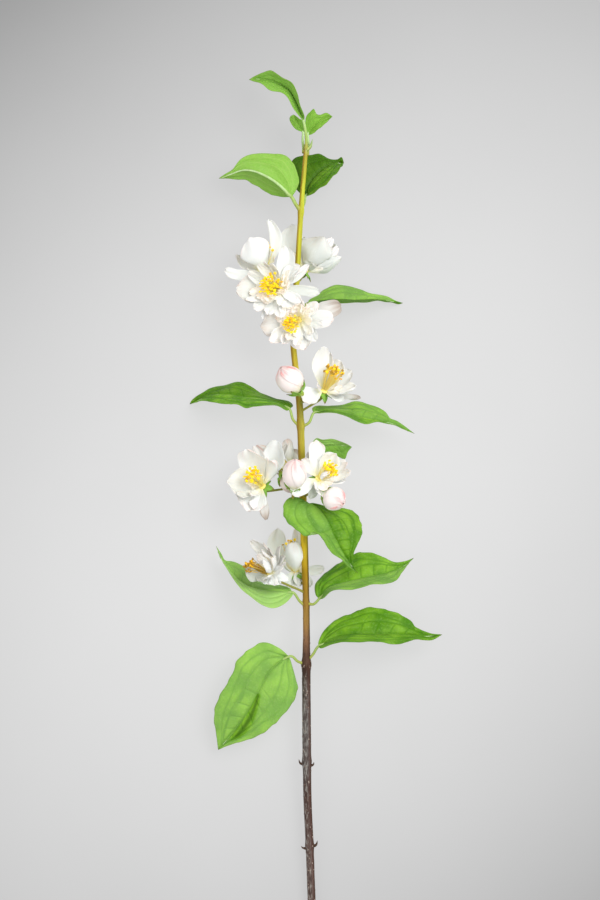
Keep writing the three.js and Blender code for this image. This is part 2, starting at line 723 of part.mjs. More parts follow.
function corolla(frame, { petals, inner }) {
  const core = disc(frame, CORE.low, CORE.high, CORE.radius);
  const large = petals.map((each) => {
    return petal(frame, each, each.width > NARROW ? PETAL_SHARES : INNER_SHARES, PETAL_STATIONS);
  });
  const small = inner.map((each) => petal(frame, each, INNER_SHARES, INNER_STATIONS));
  return joined([core, ...large, ...small]);
}

// A fan of stamens on a low disc: each is a three-sided filament that swells into its anther
function stamens(frame, count) {
  const low = CORE.high + SEAT_GAP;
  const foot = disc(frame, low, low + STAMEN_FOOT, STAMEN.foot);
  const golden = Math.PI * (3 - Math.sqrt(5));
  const filaments = Array.from({ length: count }, (_, i) => {
    const ring = Math.sqrt((i + FIRST_TURN) / count);
    const outwards = outwardsAt(frame, i * golden);
    const slant = degrees(STAMEN.spread) * ring;
    const way = frame.axis.clone().multiplyScalar(Math.cos(slant));
    way.addScaledVector(outwards, Math.sin(slant));
    const start = bloomPoint(frame, low + STAMEN_FOOT / 2, outwards, ring * STAMEN.root);
    const length = STAMEN.length * (1 - OUTER_SHORTENING * ring + LENGTH_SPREAD * Math.cos(3 * i));
    const curve = new THREE.LineCurve3(start, start.clone().addScaledVector(way, length));
    return rod(curve, STAMEN_STATIONS, [STAMEN.filament, STAMEN.anther, STAMEN.filament], 3);
  });
  return joined([foot, ...filaments]);
}

// The green cup under the petals with its sepals, and the stalk that joins it to the stem. The
// cup's rings have a point between each two sepals, and one along each that runs out to its tip.
function calyx(frame, root, [distance, height]) {
  const half = SEPAL.thickness / 2;
  const even = (out, up) => ({ notch: [out, up], tip: [out, up] });
  const rings = [
    even(CUP.foot, -CUP.depth),
    even(CUP.belly, -CUP.depth / 2),
    { notch: [CUP.radius, SEPAL.root - half], tip: [distance, height - half] },
    { notch: [CUP.radius, SEPAL.root + half], tip: [distance - SEPAL.bevel, height + half] },
    even(CUP.rim, 0),
  ].map(({ notch, tip }) => {
    return Array.from({ length: 2 * SEPALS }, (_, i) => {
      const [out, up] = i % 2 === 0 ? notch : tip;
      return bloomPoint(frame, up, outwardsAt(frame, (Math.PI * (i + 0.5)) / SEPALS), out);
    });
  });
  const below = bloomPoint(frame, -CUP.depth - TWIG_BEND);
  const start = stemPoint(root);
  const stalk = smooth([start, below.clone().lerp(start, 0.5), below, bloomPoint(frame, 1 - CUP.depth)]);
  const pedicel = rod(stalk, steps(3), Array(4).fill(PEDICEL_RADIUS), TWIG_SIDES);
  return rodFrom(rings).add(pedicel).subtract(stemClearance);
}

// Buds

function budRadius({ radius, length }, height) {
  return radius * keyed(BUD_PROFILE, height / length);
}

function clasping(bud) {
  return [budRadius(bud, CLASPING.height) + CLASPING.distance, CLASPING.height];
}

function furledPetals(frame, bud) {
  const sides = FURL.petals * FURL.pointsEach;
  const rings = BUD_STATIONS.map((t) => {
    const height = CORE.low + t * (bud.length - CORE.low);
    return Array.from({ length: sides }, (_, i) => {
      const place = (i % FURL.pointsEach) / (FURL.pointsEach - 1);
      const tuck = 1 - FURL.step * place * Math.sqrt(Math.sin(Math.PI * t));
      const lag = place === 0 ? FURL.lag : 0;
      const outwards = outwardsAt(frame, (2 * Math.PI * (i - lag)) / sides + FURL.winding * t);
      return bloomPoint(frame, height, outwards, budRadius(bud, height) * tuck);
    });
  });
  return rodFrom(rings);
}

// Assembly

const branch = new THREE.Group();
branch.add(mesh("stem", stem(), BARK, 0.7));
for (const each of LEAVES) {
  branch.add(mesh(each.name, leaf(each), LEAF_GREEN, 0.55));
}
for (const bloom of BLOOMS) {
  const frame = bloomFrame(bloom);
  branch.add(mesh(bloom.name + "_petals", corolla(frame, bloom), PETAL_WHITE, 0.6));
  branch.add(mesh(bloom.name + "_stamens", stamens(frame, bloom.stamens), ANTHER_YELLOW, 0.6));
  branch.add(mesh(bloom.name + "_calyx", calyx(frame, bloom.root, SPREADING), SEPAL_GREEN, 0.6));
}
for (const bud of BUDS) {
  const frame = bloomFrame(bud);
  branch.add(mesh(bud.name + "_petals", furledPetals(frame, bud), BUD_PINK, 0.6));
  branch.add(mesh(bud.name + "_calyx", calyx(frame, bud.root, clasping(bud)), SEPAL_GREEN, 0.6));
}

export default branch;
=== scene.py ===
import math

import bpy
import numpy as np
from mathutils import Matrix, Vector


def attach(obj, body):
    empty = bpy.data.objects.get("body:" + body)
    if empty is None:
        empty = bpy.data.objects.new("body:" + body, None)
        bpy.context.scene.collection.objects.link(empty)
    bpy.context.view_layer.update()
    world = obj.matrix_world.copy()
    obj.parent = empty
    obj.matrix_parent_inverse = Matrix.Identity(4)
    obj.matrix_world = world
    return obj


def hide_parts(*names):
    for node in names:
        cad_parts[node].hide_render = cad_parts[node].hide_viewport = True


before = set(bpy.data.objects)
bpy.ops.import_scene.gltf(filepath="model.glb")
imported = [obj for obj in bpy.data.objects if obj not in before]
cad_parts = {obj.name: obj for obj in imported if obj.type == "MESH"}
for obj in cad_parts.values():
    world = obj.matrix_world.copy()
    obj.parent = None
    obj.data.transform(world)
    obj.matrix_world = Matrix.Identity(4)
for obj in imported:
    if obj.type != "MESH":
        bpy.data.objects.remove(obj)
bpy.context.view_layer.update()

# The table that the cut branch lies on has a matt, pale grey top with a painted pool of light on it: palest
# near the middle of the view and darker outwards. The top also glows a little in that colour, which
# lightens the shadows that fall on it. The camera looks straight down on it. One large soft light stands
# high on the right beyond the branch's tip, and a weaker one fills from the left. Lengths are in
# millimetres here, and MM turns them into metres.
MM = 0.001
VIEW_CENTRE, VIEW_HEIGHT = (-11.25, 55.5), 1828
LENS, SENSOR = 96, 36
# A PIXEL of the photograph is this wide at PIXEL_HEIGHT over the table.
PIXEL, PIXEL_HEIGHT, PICTURE_MIDDLE = 0.75, 28, (300, 450)
TABLE_SIZE, PALEST = 16000, (-8, 14)
PALE_GREY, DEEPER_GREY = "#979797", "#484848"
DARKENING, SLANT, DARKEST, DARKEST_SOFTNESS = 2.7, 0.62, 0.8, 0.3
TABLE_GLOW, TABLE_SHARE, WHITE_WALLS = 2.05, 0.4, 0.72
WHITE, BLACK = (1, 1, 1, 1), (0, 0, 0, 1)

scene = bpy.context.scene
scene.view_settings.view_transform = "Standard"


def seen(x, y, height, start=(0, 0, 0)):
    """What the photograph shows at pixel x, y, as a place measured from the start, to a tenth."""
    pixel = PIXEL * (VIEW_HEIGHT - height - start[2]) / (VIEW_HEIGHT - PIXEL_HEIGHT)
    right, up = (x - PICTURE_MIDDLE[0]) * pixel, (PICTURE_MIDDLE[1] - y) * pixel
    return np.round([VIEW_CENTRE[0] + right - start[0], VIEW_CENTRE[1] + up - start[1], height], 1)


class Flow:
    """A node's output. Sums, products and the like with it add the nodes that reckon them."""

    def __init__(self, socket):
        self.socket, self.tree = socket, socket.id_data

    __add__ = lambda self, other: maths("ADD", self, other)
    __sub__ = lambda self, other: maths("SUBTRACT", self, other)
    __mul__ = lambda self, other: maths("MULTIPLY", self, other)
    __truediv__ = lambda self, other: maths("DIVIDE", self, other)
    __abs__ = lambda self: maths("ABSOLUTE", self)


def add(tree, kind, inputs=(), out=0, **settings):
    """A node with its inputs set or linked. It gives one output, or all by name where out is None."""
    made = tree.nodes.new(kind)
    for name, value in settings.items():
        setattr(made, name, value)
    for place, value in dict(inputs).items():
        if isinstance(value, Flow):
            tree.links.new(value.socket, made.inputs[place])
        else:
            made.inputs[place].default_value = value
    return {each.name: Flow(each) for each in made.outputs} if out is None else Flow(made.outputs[out])


def tree_of(*values):
    return next(value.tree for value in values if isinstance(value, Flow))


def maths(operation, *values):
    return add(tree_of(*values), "ShaderNodeMath", enumerate(values), operation=operation)


def parted(vector):
    return add(vector.tree, "ShaderNodeSeparateXYZ", {0: vector}, None).values()


def noise(place, scale, detail=3, roughness=0.5):
    inputs = {"Vector": place, "Scale": scale, "Detail": detail, "Roughness": roughness}
    return add(place.tree, "ShaderNodeTexNoise", inputs)


def tint(code):
    """The linear values of a colour given as a hexadecimal code."""
    parts = [int(code[i : i + 2], 16) / 255 for i in (1, 3, 5)]
    return (*[p / 12.92 if p <= 0.04045 else ((p + 0.055) / 1.055) ** 2.4 for p in parts], 1)


def mixed(share, first, second, blend="MIX"):
    first, second = [tint(each) if isinstance(each, str) else each for each in (first, second)]
    inputs = {0: share, 6: first, 7: second}
    tree = tree_of(share, first, second)
    return add(tree, "ShaderNodeMix", inputs, 2, data_type="RGBA", blend_type=blend)


def where_in(tree):
    return add(tree, "ShaderNodeTexCoord", out="Object")


def finish_called(name, roughness, **constants):
    """A new material with its tree and its shader, whose plain values are set by name."""
    material = bpy.data.materials.new(name)
    material.use_nodes = True
    shader = material.node_tree.nodes["Principled BSDF"]
    shader.inputs["Roughness"].default_value = roughness
    for socket, value in constants.items():
        shader.inputs[socket.replace("_", " ")].default_value = value
    return material, material.node_tree, shader


def feed(shader, **flows):
    for name, flow in flows.items():
        flow.tree.links.new(flow.socket, shader.inputs[name.replace("_", " ")])


def placed(name, data):
    """A new object in the scene with this mesh, lamp or camera."""
    made = bpy.data.objects.new(name, data)
    scene.collection.objects.link(made)
    return made


scene.camera = placed("camera", bpy.data.cameras.new("camera"))
lens = scene.camera.data
lens.sensor_fit, lens.sensor_height, lens.lens, lens.clip_end = "VERTICAL", SENSOR, LENS, 20
scene.camera.location = [at * MM for at in (*VIEW_CENTRE, VIEW_HEIGHT)]

top = TABLE_SIZE * MM / 2
table_mesh = bpy.data.meshes.new("table")
corners = [(-top, -top, 0), (top, -top, 0), (top, top, 0), (-top, top, 0)]
table_mesh.from_pydata(corners, [], [(0, 1, 2, 3)])
table = placed("table", table_mesh)
material, tree, shader = finish_called(
    "matt_table_top", 0.9, Specular_IOR_Level=0.1, Emission_Strength=TABLE_GLOW,
)
# The top's colour is a painted pool of light, darker away from PALEST. The top also glows in that colour,
# which is painted light that lightens the shadows on it.
where = where_in(tree)
x, y = [each - at * MM for each, at in zip(parted(where), PALEST)]
outer = (x * x + y * y - x * y * SLANT) * DARKENING
outer = maths("SMOOTH_MIN", outer, DARKEST, DARKEST_SOFTNESS) + noise(where, 8) * 0.05
base = mixed(outer, PALE_GREY, DEEPER_GREY)
feed(shader, Emission_Color=base, Base_Color=mixed(TABLE_SHARE, BLACK, base))
table_mesh.materials.append(material)


def soft_light(name, place, aim, size, watts):
    data = bpy.data.lights.new(name, "AREA")
    data.shape, data.size, data.energy = "DISK", size * MM, watts
    lamp = placed(name, data)
    place, aim = [np.array(p, float) * MM for p in (place, aim)]
    lamp.location = place
    lamp.rotation_euler = Vector(aim - place).to_track_quat("-Z", "Y").to_euler()


soft_light("key", (760, 640, 1400), (0, 40, 0), 1100, 22)
soft_light("fill", (-900, -300, 1200), (0, 40, 0), 1200, 4)
world = scene.world or bpy.data.worlds.new("room")
scene.world = world
world.use_nodes = True
for socket, value in zip(world.node_tree.nodes["Background"].inputs, (WHITE, WHITE_WALLS)):
    socket.default_value = value

# The stem is one shoot of the branch: grey-brown, waxy old wood below, then a thin golden to green
# skin on this year's growth, a little thicker at each node. It is cut straight across at its foot.
STEM = [
    ((-0.8, -337.6, 2.86), 6.2), ((-2.6, -282, 6.9), 6.1), ((-4, -243, 9.6), 6.1),
    ((-5.6, -207, 12), 6.3), ((-6.2, -162, 14.8), 6.7), ((-6.5, -110, 18), 6.4),
    ((-6.4, -84, 19.5), 5.3), ((-6.7, -57, 20.8), 4.9), ((-7.9, -18, 23), 5.7), ((-9, 18, 25), 5.6),
    ((-10.1, 54, 26.6), 5.4), ((-11.6, 90, 28), 5.1), ((-14.6, 117, 29), 4.7),
    ((-16.2, 137, 29.6), 4.6), ((-14.8, 168, 30.4), 4.4), ((-12.7, 198, 31.2), 4.2),
    ((-10.6, 234, 31.9), 4), ((-8.2, 264, 32.3), 3.6), ((-6.6, 284, 32.6), 3),
]
NODES = [
    (-244, 0.5), (-180, 0.5), (-106, 0.9), (-60, 0.4), (8, 0.6), (74, 0.6), (112, 0.5),
    (156, 0.5), (184, 0.5), (234, 0.5),
]
NODE_REACH = 3.6
STEM_RINGS, STEM_SIDES = 760, 28


def vector_of(*numbers):
    return add(tree_of(*numbers), "ShaderNodeCombineXYZ", enumerate(numbers))


def stretched(place, by):
    return add(place.tree, "ShaderNodeVectorMath", {0: place, 1: by}, operation="MULTIPLY")


def faded(value, start, end):
    """0 up to start and 1 from end on, or the other way round where end is the lower one."""
    inputs = {"Value": value, "From Min": start, "From Max": end}
    return add(value.tree, "ShaderNodeMapRange", inputs, interpolation_type="SMOOTHSTEP")


def layered(colour, *layers):
    """A colour with others laid over it in turn, each after its mask."""
    for mask, other in layers:
        colour = mixed(mask, colour, other)
    return colour


def ramp(value, stops):
    made = value.tree.nodes.new("ShaderNodeValToRGB")
    value.tree.links.new(value.socket, made.inputs[0])
    elements = made.color_ramp.elements
    for i, (place, code) in enumerate(stops):
        element = elements[i] if i < 2 else elements.new(place)
        element.position, element.color = place, tint(code)
    return Flow(made.outputs[0])


def mark(tree, name, out="Fac"):
    """A value that a piece's points carry under this name."""
    return add(tree, "ShaderNodeAttribute", out=out, attribute_name=name)


def group_called(kind, name, inputs, outputs):
    """A shader or geometry group and what comes into it. An input is a usual number or a kind."""
    made = bpy.data.node_groups.new(name, kind + "NodeTree")
    for label, value in inputs.items():
        what = value if isinstance(value, str) else type(value).__name__.title()
        socket = made.interface.new_socket(label, in_out="INPUT", socket_type="NodeSocket" + what)
        if what != value:
            socket.default_value = value
    what = "NodeSocketFloat" if kind == "Shader" else "NodeSocketGeometry"
    for label in outputs:
        made.interface.new_socket(label, in_out="OUTPUT", socket_type=what)
    return made, add(made, "NodeGroupInput", out=None)


def gives(tree, *flows):
    add(tree, "NodeGroupOutput", enumerate(flows), None)


def step(kind, inputs=(), out=0, **settings):
    """A geometry node in the rule that is being built."""
    return add(rule, "GeometryNode" + kind, inputs, out, **settings)


def relief(shader, height, depth):
    """Bump on a shader, from a height of 0 to 1 and its depth in millimetres."""
    feed(shader, Normal=add(height.tree, "ShaderNodeBump", {"Distance": depth * MM, "Height": height}))


def unit(vectors):
    return vectors / np.linalg.norm(vectors, axis=-1, keepdims=True)


def smooth_course(points, cells=60):
    """A smooth curve through points, as close points on it and the share of its length at each."""
    p = np.array(points, float)
    p = np.vstack([2 * p[0] - p[1], p, 2 * p[-1] - p[-2]])
    w = np.linspace(0, 1, cells, endpoint=False)[:, None]
    parts = []
    for a, b, c, d in zip(p, p[1:], p[2:], p[3:]):
        start, end = (c - a) / 2, (d - b) / 2
        bend = -3 * b + 3 * c - 2 * start - end
        parts.append(b + w * start + w**2 * bend + w**3 * (2 * b - 2 * c + start + end))
    line = np.vstack([*parts, p[-2]])
    lengths = np.concatenate([[0], np.cumsum(np.linalg.norm(np.diff(line, axis=0), axis=1))])
    return line, lengths / lengths[-1]


def on_course(course, shares):
    """Points of a course at shares of its length, and its directions there."""
    line, lengths = course
    pick = lambda u: np.stack([np.interp(u, lengths, line[:, k]) for k in range(line.shape[1])], -1)
    shares = np.asarray(shares, float)
    gap = 0.002
    return pick(shares), unit(pick(np.minimum(shares + gap, 1)) - pick(np.maximum(shares - gap, 0)))


stem_course = smooth_course([at for at, _ in STEM])


def stem_at(y):
    return on_course(stem_course, np.interp(y, stem_course[0][:, 1], stem_course[1]))[0]


def stem_radius(y):
    y = np.asarray(y, float)
    plain = np.interp(y, [at[1] for at, _ in STEM], [width / 2 for _, width in STEM])
    return plain + sum(swell * np.exp(-(((y - at) / NODE_REACH) ** 2)) for at, swell in NODES)


def path_mesh(paths):
    """Chains of points in one mesh, each point with its radius and its share of the way along."""
    made = bpy.data.meshes.new("path")
    first, edges = 0, []
    for points, _ in paths:
        edges += [(first + i, first + i + 1) for i in range(len(points) - 1)]
        first += len(points)
    made.from_pydata(np.vstack([points for points, _ in paths]) * MM, edges, [])
    girth = np.concatenate([np.broadcast_to(radii, len(points)) for points, radii in paths]) * MM
    reach = np.concatenate([np.linspace(0, 1, len(points)) for points, _ in paths])
    for name, values in (("girth", girth), ("reach", reach)):
        made.attributes.new(name, "FLOAT", "POINT").data.foreach_set("value", values)
    return made


def grown(name, rule, start, values):
    """A plain object with the mesh that a rule grows from a start mesh."""
    carrier = placed(name + "_start", start)
    modifier = carrier.modifiers.new("growth", "NODES")
    modifier.node_group = rule
    for item in rule.interface.items_tree:
        if item.in_out == "INPUT" and item.name in values:
            modifier[item.identifier] = values[item.name]
    graph = bpy.context.evaluated_depsgraph_get()
    made = bpy.data.meshes.new_from_object(carrier.evaluated_get(graph), depsgraph=graph)
    carrier.modifiers.remove(modifier)
    bpy.data.objects.remove(carrier)
    made.name = name
    return placed(name, made)


# A round skin along paths, with fine furrows that run mostly along the Y axis
rule, given = group_called("Geometry", "skin_on_paths", {
    "Mesh": "Geometry", "Sides": 12, "Furrow Depth": 0.0002, "Furrow Scale": 900.0,
    "Furrow Stretch": 0.12, "Skin": "Material",
}, ["Mesh"])
line = step("MeshToCurve", {0: given["Mesh"]})
girth = step("InputNamedAttribute", {"Name": "girth"})
ring = step("CurvePrimitiveCircle", {"Resolution": given["Sides"], "Radius": 1})
skin = step("CurveToMesh", {0: line, 1: ring, "Scale": girth, "Fill Caps": True})
place = stretched(step("InputPosition"), vector_of(1, given["Furrow Stretch"], 1))
push = (noise(place, given["Furrow Scale"], 3, 0.6) - 0.5) * given["Furrow Depth"]
push = {0: step("InputNormal"), "Scale": push}
push = add(rule, "ShaderNodeVectorMath", push, operation="SCALE")
skin = step("SetPosition", {0: skin, "Offset": push})
skin = step("SetShadeSmooth", {0: skin, "Shade Smooth": True})
skin = step("SetMaterial", {0: skin, "Material": given["Skin"]})
gives(rule, step("RealizeInstances", {0: skin}))
skin_rule = rule

# Fine dark specks and longer streaks, as on bark and on stalks
speckle, given = group_called("Shader", "specks_and_streaks", {
    "Speck Scale": 1500.0, "Streak Scale": 500.0, "Streak Stretch": 0.06,
}, ["Specks", "Streaks"])
where = where_in(speckle)
dots = noise(where, given["Speck Scale"], 2, 0.6)
streaks = noise(stretched(where, vector_of(1, given["Streak Stretch"], 1)), given["Streak Scale"], 4, 0.65)
gives(speckle, faded(dots, 0.62, 0.72), faded(streaks, 0.35, 0.68))

FOOT, TIP = -340, 300
BARK_BY_Y = [
    (-340, "#5d4a42"), (-267, "#695851"), (-207, "#54403a"), (-186, "#594f4b"), (-150, "#5c5551"),
    (-124, "#574840"), (-112, "#452f23"), (-97, "#5e4231"), (-86, "#8c6645"), (-72, "#a07c3c"),
    (-50, "#a07c22"), (-36, "#a5820f"), (-20, "#d9b927"), (30, "#cdb62c"), (70, "#b5ab3e"),
    (84, "#928c30"), (105, "#cbb53c"), (150, "#d0c63a"), (216, "#c6c534"), (250, "#c9cf3c"),
    (276, "#b9aa3a"), (283, "#a6c078"), (296, "#a6c88a"),
]
CUT_MIDDLE, CUT_RADIUS = (-0.8 * MM, -337.6 * MM, 2.9 * MM), 3.1 * MM
CUT_BEGINS, CUT_WHOLE = -337.2 * MM, -337.5 * MM
FILM_MIDDLE, LOWEST_POINT = 158 * MM, 0.05
CUT_RINGS = [
    (0, "#6b4a2a"), (0.16, "#8f6d3f"), (0.22, "#ddcb9a"), (0.5, "#cdb67e"), (0.56, "#dcc994"),
    (0.82, "#c6ad70"), (0.88, "#7d8440"), (0.94, "#4a3628"),
]
bark, tree, shader = finish_called("stem_bark", 0.55, Specular_IOR_Level=0.18)
where = where_in(tree)
_, y, _ = parted(where)
share = add(tree, "ShaderNodeMapRange", {"Value": y, "From Min": FOOT * MM, "From Max": TIP * MM})
marks = {"Speck Scale": 1300, "Streak Scale": 420}
marks = add(tree, "ShaderNodeGroup", marks, None, node_tree=speckle)
side = mark(tree, "side")
grain = noise(stretched(where, (1, 0.22, 1)), 850, 3, 0.62)
old = faded(y, -60 * MM, -110 * MM)
film = faded(noise(where, 160, 3, 0.7), 0.35, 0.7) * old * faded(abs(y + FILM_MIDDLE), 0.04, 0.024)
# Silver grey down the left of the old wood is partly a real grey film and partly a painted highlight on the
# lit side.
grey_film_and_painted_highlight = faded(grain, 0.52, 0.62) * faded(side, 0.5, -0.1) * faded(y, -0.1, -0.13)
from_pith = {0: where, 1: CUT_MIDDLE}
from_pith = add(tree, "ShaderNodeVectorMath", from_pith, "Value", operation="DISTANCE")
colour = ramp(share, [((at - FOOT) / (TIP - FOOT), code) for at, code in BARK_BY_Y])
colour = mixed(0.32, colour, mixed(marks["Streaks"], "#5f4a35", WHITE), "MULTIPLY")
# The side mark paints light and shade. Dark red-brown down the right of the old wood is painted shade, and
# so is the very dark brown down the right of the lower stem. Golden brown down the left edge of the growth
# above the middle is painted shade too.
colour = layered(
    colour, (marks["Specks"] * old, "#3a2725"), (film * 0.35, "#93908c"),
    (faded(grain, 0.49, 0.38) * old * 0.6, "#33231f"), (grey_film_and_painted_highlight * 0.5, "#a5a39c"),
    (faded(side, 0.15, 0.75) * old * 0.4, "#5a302c"),
    (faded(side, 0.05, -0.6) * faded(y, 0, 0.03) * 0.7, "#9a7424"),
    (faded(side, 0.35, 0.95) * faded(y, 0, -0.03) * 0.75, "#3d2a18"),
    (faded(y, CUT_BEGINS, CUT_WHOLE), ramp(from_pith / CUT_RADIUS, CUT_RINGS)),
)
feed(shader, Base_Color=colour)
relief(shader, grain, 0.5)

ys = np.linspace(STEM[0][0][1], STEM[-1][0][1], STEM_RINGS)
values = {"Sides": STEM_SIDES, "Furrow Depth": 0.35 * MM, "Furrow Scale": 700.0, "Skin": bark}
stem = grown("stem", skin_rule, path_mesh([(stem_at(ys), stem_radius(ys) * 0.99)]), values)
spots = np.empty(3 * len(stem.data.vertices))
stem.data.vertices.foreach_get("co", spots)
spots = spots.reshape(-1, 3) / MM
spots[:, 2] = np.maximum(spots[:, 2], LOWEST_POINT)
stem.data.vertices.foreach_set("co", (spots * MM).ravel())
# How far each point lies to the right of the stem's middle. The bark's painted light and shade read this
# value.
side = (spots[:, 0] - stem_at(spots[:, 1])[:, 0]) / stem_radius(spots[:, 1])
stem.data.attributes.new("side", "FLOAT", "POINT").data.foreach_set("value", side)
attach(stem, "root")
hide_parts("stem")

# Lenticels are small corky dots scattered over the old wood, where the bark lets in air. Each is
# sunk halfway into the bark. None lie on the golden growth, nor low down beside the cut foot.
cork, tree, shader = finish_called("lenticel_cork", 0.8, Specular_IOR_Level=0.15)
feed(shader, Base_Color=mixed(faded(noise(where_in(tree), 300, 2), 0.4, 0.6), "#a39488", "#6b564b"))
rule, given = group_called("Geometry", "lenticels", {
    "Mesh": "Geometry", "Dots To A Square Metre": 30000.0, "Dot Radius": 0.0005, "Seed": 5,
    "Begin Below": -0.07, "Lowest": 0.003, "Skin": "Material",
}, ["Mesh"])
_, y, z = parted(step("InputPosition"))
on_old_wood = maths("LESS_THAN", y, given["Begin Below"]) * maths("GREATER_THAN", z, given["Lowest"])
dots = step("DistributePointsOnFaces", {
    0: given["Mesh"], "Selection": on_old_wood, "Density": given["Dots To A Square Metre"],
    "Seed": given["Seed"],
}, None)
ball = step("MeshIcoSphere", {"Radius": given["Dot Radius"], "Subdivisions": 2})
ball = step("Transform", {0: ball, "Scale": (1, 1, 0.5)})
dots = {0: dots["Points"], "Instance": ball, "Rotation": dots["Rotation"]}
dots = step("InstanceOnPoints", dots)
dots = step("SetMaterial", {0: dots, "Material": given["Skin"]})
gives(rule, step("RealizeInstances", {0: dots}))
lenticels = grown("stem_lenticels", rule, stem.data.copy(), {"Skin": cork})
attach(lenticels, "root")
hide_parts("stem")

# Pairs of hooked scales stand at the old wood's nodes, and a pointed bud beside the shoot's tip,
# all of bark. A row has the place along the stem, the side, and how far the hook juts and rises.
SCALES = [
    (-182.6, -1, 3.3, 4.5), (-183.5, 1, 2.4, 3.3), (-246.6, -1, 4, 2.1), (-245.2, 1, 3, 5),
    (280, 1, 4.4, 8),
]
hooks = []
for y, side, out, rise in SCALES:
    root, reach = stem_at(y), stem_radius(y)
    spots = [root, root + [side * (reach + 0.4 * out), 0.3 * rise, 0.4],
             root + [side * (reach + 0.8 * out), rise, 0.8]]
    shares = np.linspace(0.1, 1, 24)
    radii = np.interp(shares, [0.1, 0.35, 0.55, 0.8, 1], [1.6, 1.25, 0.95, 0.5, 0.08])
    hooks.append((on_course(smooth_course(spots), shares)[0], radii))
values = {"Sides": 12, "Furrow Depth": 0.3 * MM, "Furrow Scale": 900.0, "Skin": bark}
scales = grown("stem_scales", skin_rule, path_mesh(hooks), values)
# The scales count as the stem's right side, so on the old wood they take its painted shade.
sides = scales.data.attributes.new("side", "FLOAT", "POINT").data
sides.foreach_set("value", [1.0] * len(sides))
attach(scales, "root")
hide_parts("stem")
